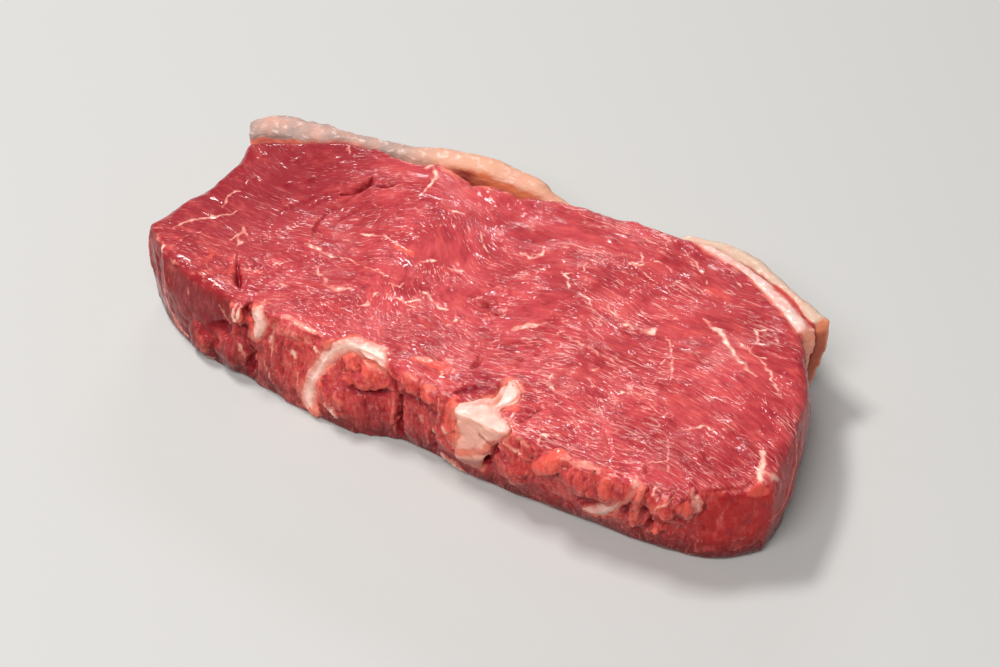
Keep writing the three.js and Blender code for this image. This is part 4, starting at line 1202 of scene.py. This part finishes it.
# %% Fat skins
def fat_skin(node, name, voxel, fuller, wider, pink_edge, lumps):
    """A lumpy skin that keeps where it turns inward, ends or meets the lean, its tints and hollows.

    voxel is the side of its squares, fuller how far it is grown and wider how much more by the lean,
    pink_edge how far the pink of the lean reaches, and lumps their height, all in millimetres.
    """
    is_wedge = node == "gristle"
    piece = skin_over(node, name, voxel, 7 if is_wedge else 2)
    points, normals = points_of(piece), normals_of(piece)
    faces = faces_of(shaken(points), normals)
    strokes = WEDGE_STROKES if is_wedge else []
    by_lean = nearness(piece, ["lean"], pink_edge)
    if node == "fat_cap":  # its skin is dry and smooth but for the left end
        lumps = lumps * (1 - 0.65 * ramp(-56, -46, points[:, 0]))
    height = fuller + wider * ramp(0.4, 0.8, by_lean) - pared(node, normals)
    height += lumps * bumps(points, (4, 4, 5), 31) + 0.8 * lumps * bumps(points, 1.8, 32)
    relief, sag = relief_of(faces, strokes)
    push(piece, (height + relief) * ramp(0, 1.5, points[:, 2]), sag)
    piece.data.polygons.foreach_set("use_smooth", [True] * len(piece.data.polygons))

    tints = tints_of(faces, strokes)[:, :3]
    inward = inner_side(node, points, normals, tints)
    end = ramp(0.4, 0.8, normals[:, 0]) * ramp(74, 76, points[:, 0])
    save(piece, "zone", np.stack([inward, end, by_lean], 1))
    save(piece, "tint", tints)
    save(piece, "hollow", hollows(piece, 10))
    twin = {"fat_cap": "fat_band", "fat_band": "fat_cap"}.get(node)
    if twin:
        save(piece, "by_twin", nearness(piece, [twin], 1.8) * ramp(40, 66, points[:, 0]))
    return piece


# %% [markdown]
# ## Waxy fat
# Fat scatters light more evenly than meat, so its subsurface radii lie closer together, and it has
# little or no film of water. Its tone changes along the steak, with pinker patches and a pale grain.
# Where it has been torn from the lean it is orange or red. The same function makes the dry outer fat,
# the white inner fat and the pearly gristle, which differ in their tones and their wetness.

# %% Fat materials
def fat_material(name, tones, blush, inner, roughness, wet, facing=0.0, red_line=0.0):
    """tones go from left to right, blush is the patches and inner the side that turns inward.

    facing is how pink the upright faces are, and red_line how red the fat is beside its twin.
    """
    material, tree, shader = new_material(
        name, Roughness=roughness, IOR=1.45, Coat_Weight=wet, Coat_Roughness=0.15, Coat_IOR=1.36,
        Subsurface_Weight=0.2, Subsurface_Scale=1.5 * MM, Subsurface_Radius=(1.0, 0.6, 0.4))
    skin = skin_readings(tree)
    zone = add_node(tree, "Attribute", {"attribute_name": "zone"}).outputs["Vector"]
    inward, end, by_lean = add_node(tree, "SeparateXYZ", Vector=zone).outputs
    patches = pattern(tree, skin.place, (7, 7, 7), 3)
    grain = pattern(tree, skin.place, (2.4, 2.4, 0.9), 3, 0.6)

    left, middle, right = tones
    fat = paint(tree, left, middle, (skin.x, -58 * MM, -34 * MM))
    fat = paint(tree, fat, right, (skin.x, 10 * MM, 30 * MM))
    fat = paint(tree, fat, "#ffae94", (skin.up, 0.8, 0.1, 0, facing))
    fat = paint(tree, fat, blush, (patches, 0.42, 0.7, 0, 0.6))
    fat = paint(tree, fat, "#fbe3d6", (grain, 0.52, 0.75, 0, 0.5))
    fat = paint(tree, fat, inner, inward, 0.8)
    fat = paint(tree, fat, "#ff9468", end, (patches, 0.35, 0.6, 0.95, 0.5))
    # Painted shade in the hollows of the fat.
    fat = paint(tree, fat, "#b9503f", (skin.hollow, -0.1, -0.6, 0, 0.7))
    fat = paint(tree, fat, "#df7868", (roughened(tree, by_lean, grain), 0.85, 1.35, 0, 0.85))
    if red_line:
        by_twin = add_node(tree, "Attribute", {"attribute_name": "by_twin"}).outputs["Fac"]
        fat = paint(tree, fat, "#b52f2a", (roughened(tree, by_twin, patches), 0.8, 1.15, 0, red_line))
    fat = paint(tree, fat, "#e26a50", (roughened(tree, skin.orange, grain), 0.7, 1.3, 0, 0.9))
    # The dark tint is painted shade: in the slit behind the outer strip, low on its inner face, and at the
    # foot and in the crease of the wedge.
    fat = paint(tree, fat, "#7a1a18", skin.dark, 0.9)
    tree.links.new(fat, shader.inputs["Base Color"])
    bump = add_node(tree, "Bump", Height=grain, Strength=0.6, Distance=0.5 * MM)
    tree.links.new(bump.outputs[0], shader.inputs["Normal"])
    print(material.name, "has", len(tree.nodes), "nodes")
    return material


outer_fat = fat_material(
    "dry_outer_fat", ("#a0857c", "#d0967a", "#c4a590"), blush="#cf9580", inner="#cc6230",
    roughness=0.65, wet=0.03, red_line=0.9)
inner_fat = fat_material(
    "white_inner_fat", ("#f4cabb", "#f4cabb", "#d8b0a6"), blush="#d88c7e", inner="#e0623f",
    roughness=0.4, wet=0.35, facing=0.3, red_line=0.6)
pearly = fat_material(
    "pearly_gristle", ("#e7b8ac", "#e7b8ac", "#e7b8ac"), blush="#e9a994", inner="#e0623f",
    roughness=0.45, wet=0.2, facing=0.8)

# %% Fat pieces
FAT_PIECES = [  # node, piece, square, fuller, wider by the lean, pink edge, lumps, material, slot
    ("fat_cap", "outer_fat_strip", 0.8, 0.3, 0, 1.6, 0.45, outer_fat, "cream_fat"),
    ("fat_band", "white_fat_band", 0.6, 0.3, 0.5, 1.2, 0.4, inner_fat, "white_fat"),
    ("fat_seam", "seam_of_fat", 0.5, 0.1, 0.8, 1.5, 0.4, inner_fat, "cream_fat"),
    ("fat_sliver", "sliver_of_fat", 0.4, 0.2, 0.6, 1.1, 0.3, inner_fat, "white_fat"),
    ("fat_nub", "nub_of_fat", 0.4, 0.1, 0.6, 1.2, 0.3, inner_fat, "white_fat"),
    ("gristle", "gristle_wedge", 0.5, 0, 0.7, 1.7, 0.5, pearly, "gristle"),
]
for node, name, square, fuller, wider, pink_edge, lumps, material, slot in FAT_PIECES:
    finish_piece(fat_skin(node, name, square, fuller, wider, pink_edge, lumps), material, node)

# %% [markdown]
# ## Table
# The table is a plain pale matt surface. It is stage, so it isn't part of the steak.

# %% Table
TABLE_SIDE = 6  # metres, so that its edge never shows


def plain_table():
    """A wide flat square at the height of the table."""
    bm = bmesh.new()
    bmesh.ops.create_grid(bm, x_segments=1, y_segments=1, size=TABLE_SIDE / 2)
    mesh = bpy.data.meshes.new("table")
    bm.to_mesh(mesh)
    bm.free()
    table = linked("table", mesh)
    material, _, shader = new_material("matt_pale_table", Roughness=0.8, Specular_IOR_Level=0.2)
    shader.inputs["Base Color"].default_value = colour("#b7b5b2")
    table.data.materials.append(material)
    return table


print("table is", round(plain_table().dimensions.x, 2), "m wide")

# %% [markdown]
# ## Light
# A small soft light high behind the steak and to the left draws the wet glints along the fibres and
# throws the relief into shade. A low, long and thin one straight behind adds more of them. A broad light
# in front is about as strong as the first, and keeps the front side readable.

# %% Lights
def soft_light(name, heading, height, distance, size, power):
    """A rectangle of light that looks at the steak. heading 0 is behind the camera, 180 opposite it."""
    data = bpy.data.lights.new(name, "AREA")
    data.shape = "RECTANGLE"
    data.size, data.size_y = size
    data.energy = power
    light = bpy.data.objects.new(name, data)
    bpy.context.scene.collection.objects.link(light)
    turn, rise = HEADING + math.radians(heading), math.radians(height)
    way = Vector((math.sin(turn) * math.cos(rise), -math.cos(turn) * math.cos(rise), math.sin(rise)))
    light.location = way * distance
    light.rotation_euler = way.to_track_quat("Z", "Y").to_euler()
    print(name, "light stands at", [round(c, 2) for c in light.location])


soft_light("key", heading=-125, height=62, distance=1.3, size=(0.36, 0.2), power=13)
soft_light("glint", heading=175, height=23, distance=1.2, size=(0.5, 0.05), power=3.1)
soft_light("front", heading=-20, height=55, distance=1.3, size=(0.8, 0.6), power=14)

world = bpy.data.worlds.new("soft room")
world.use_nodes = True
world.node_tree.nodes["Background"].inputs["Color"].default_value = colour("#e4e6e8")
world.node_tree.nodes["Background"].inputs["Strength"].default_value = 0.2
bpy.context.scene.world = world
bpy.context.scene.view_settings.view_transform = "Standard"
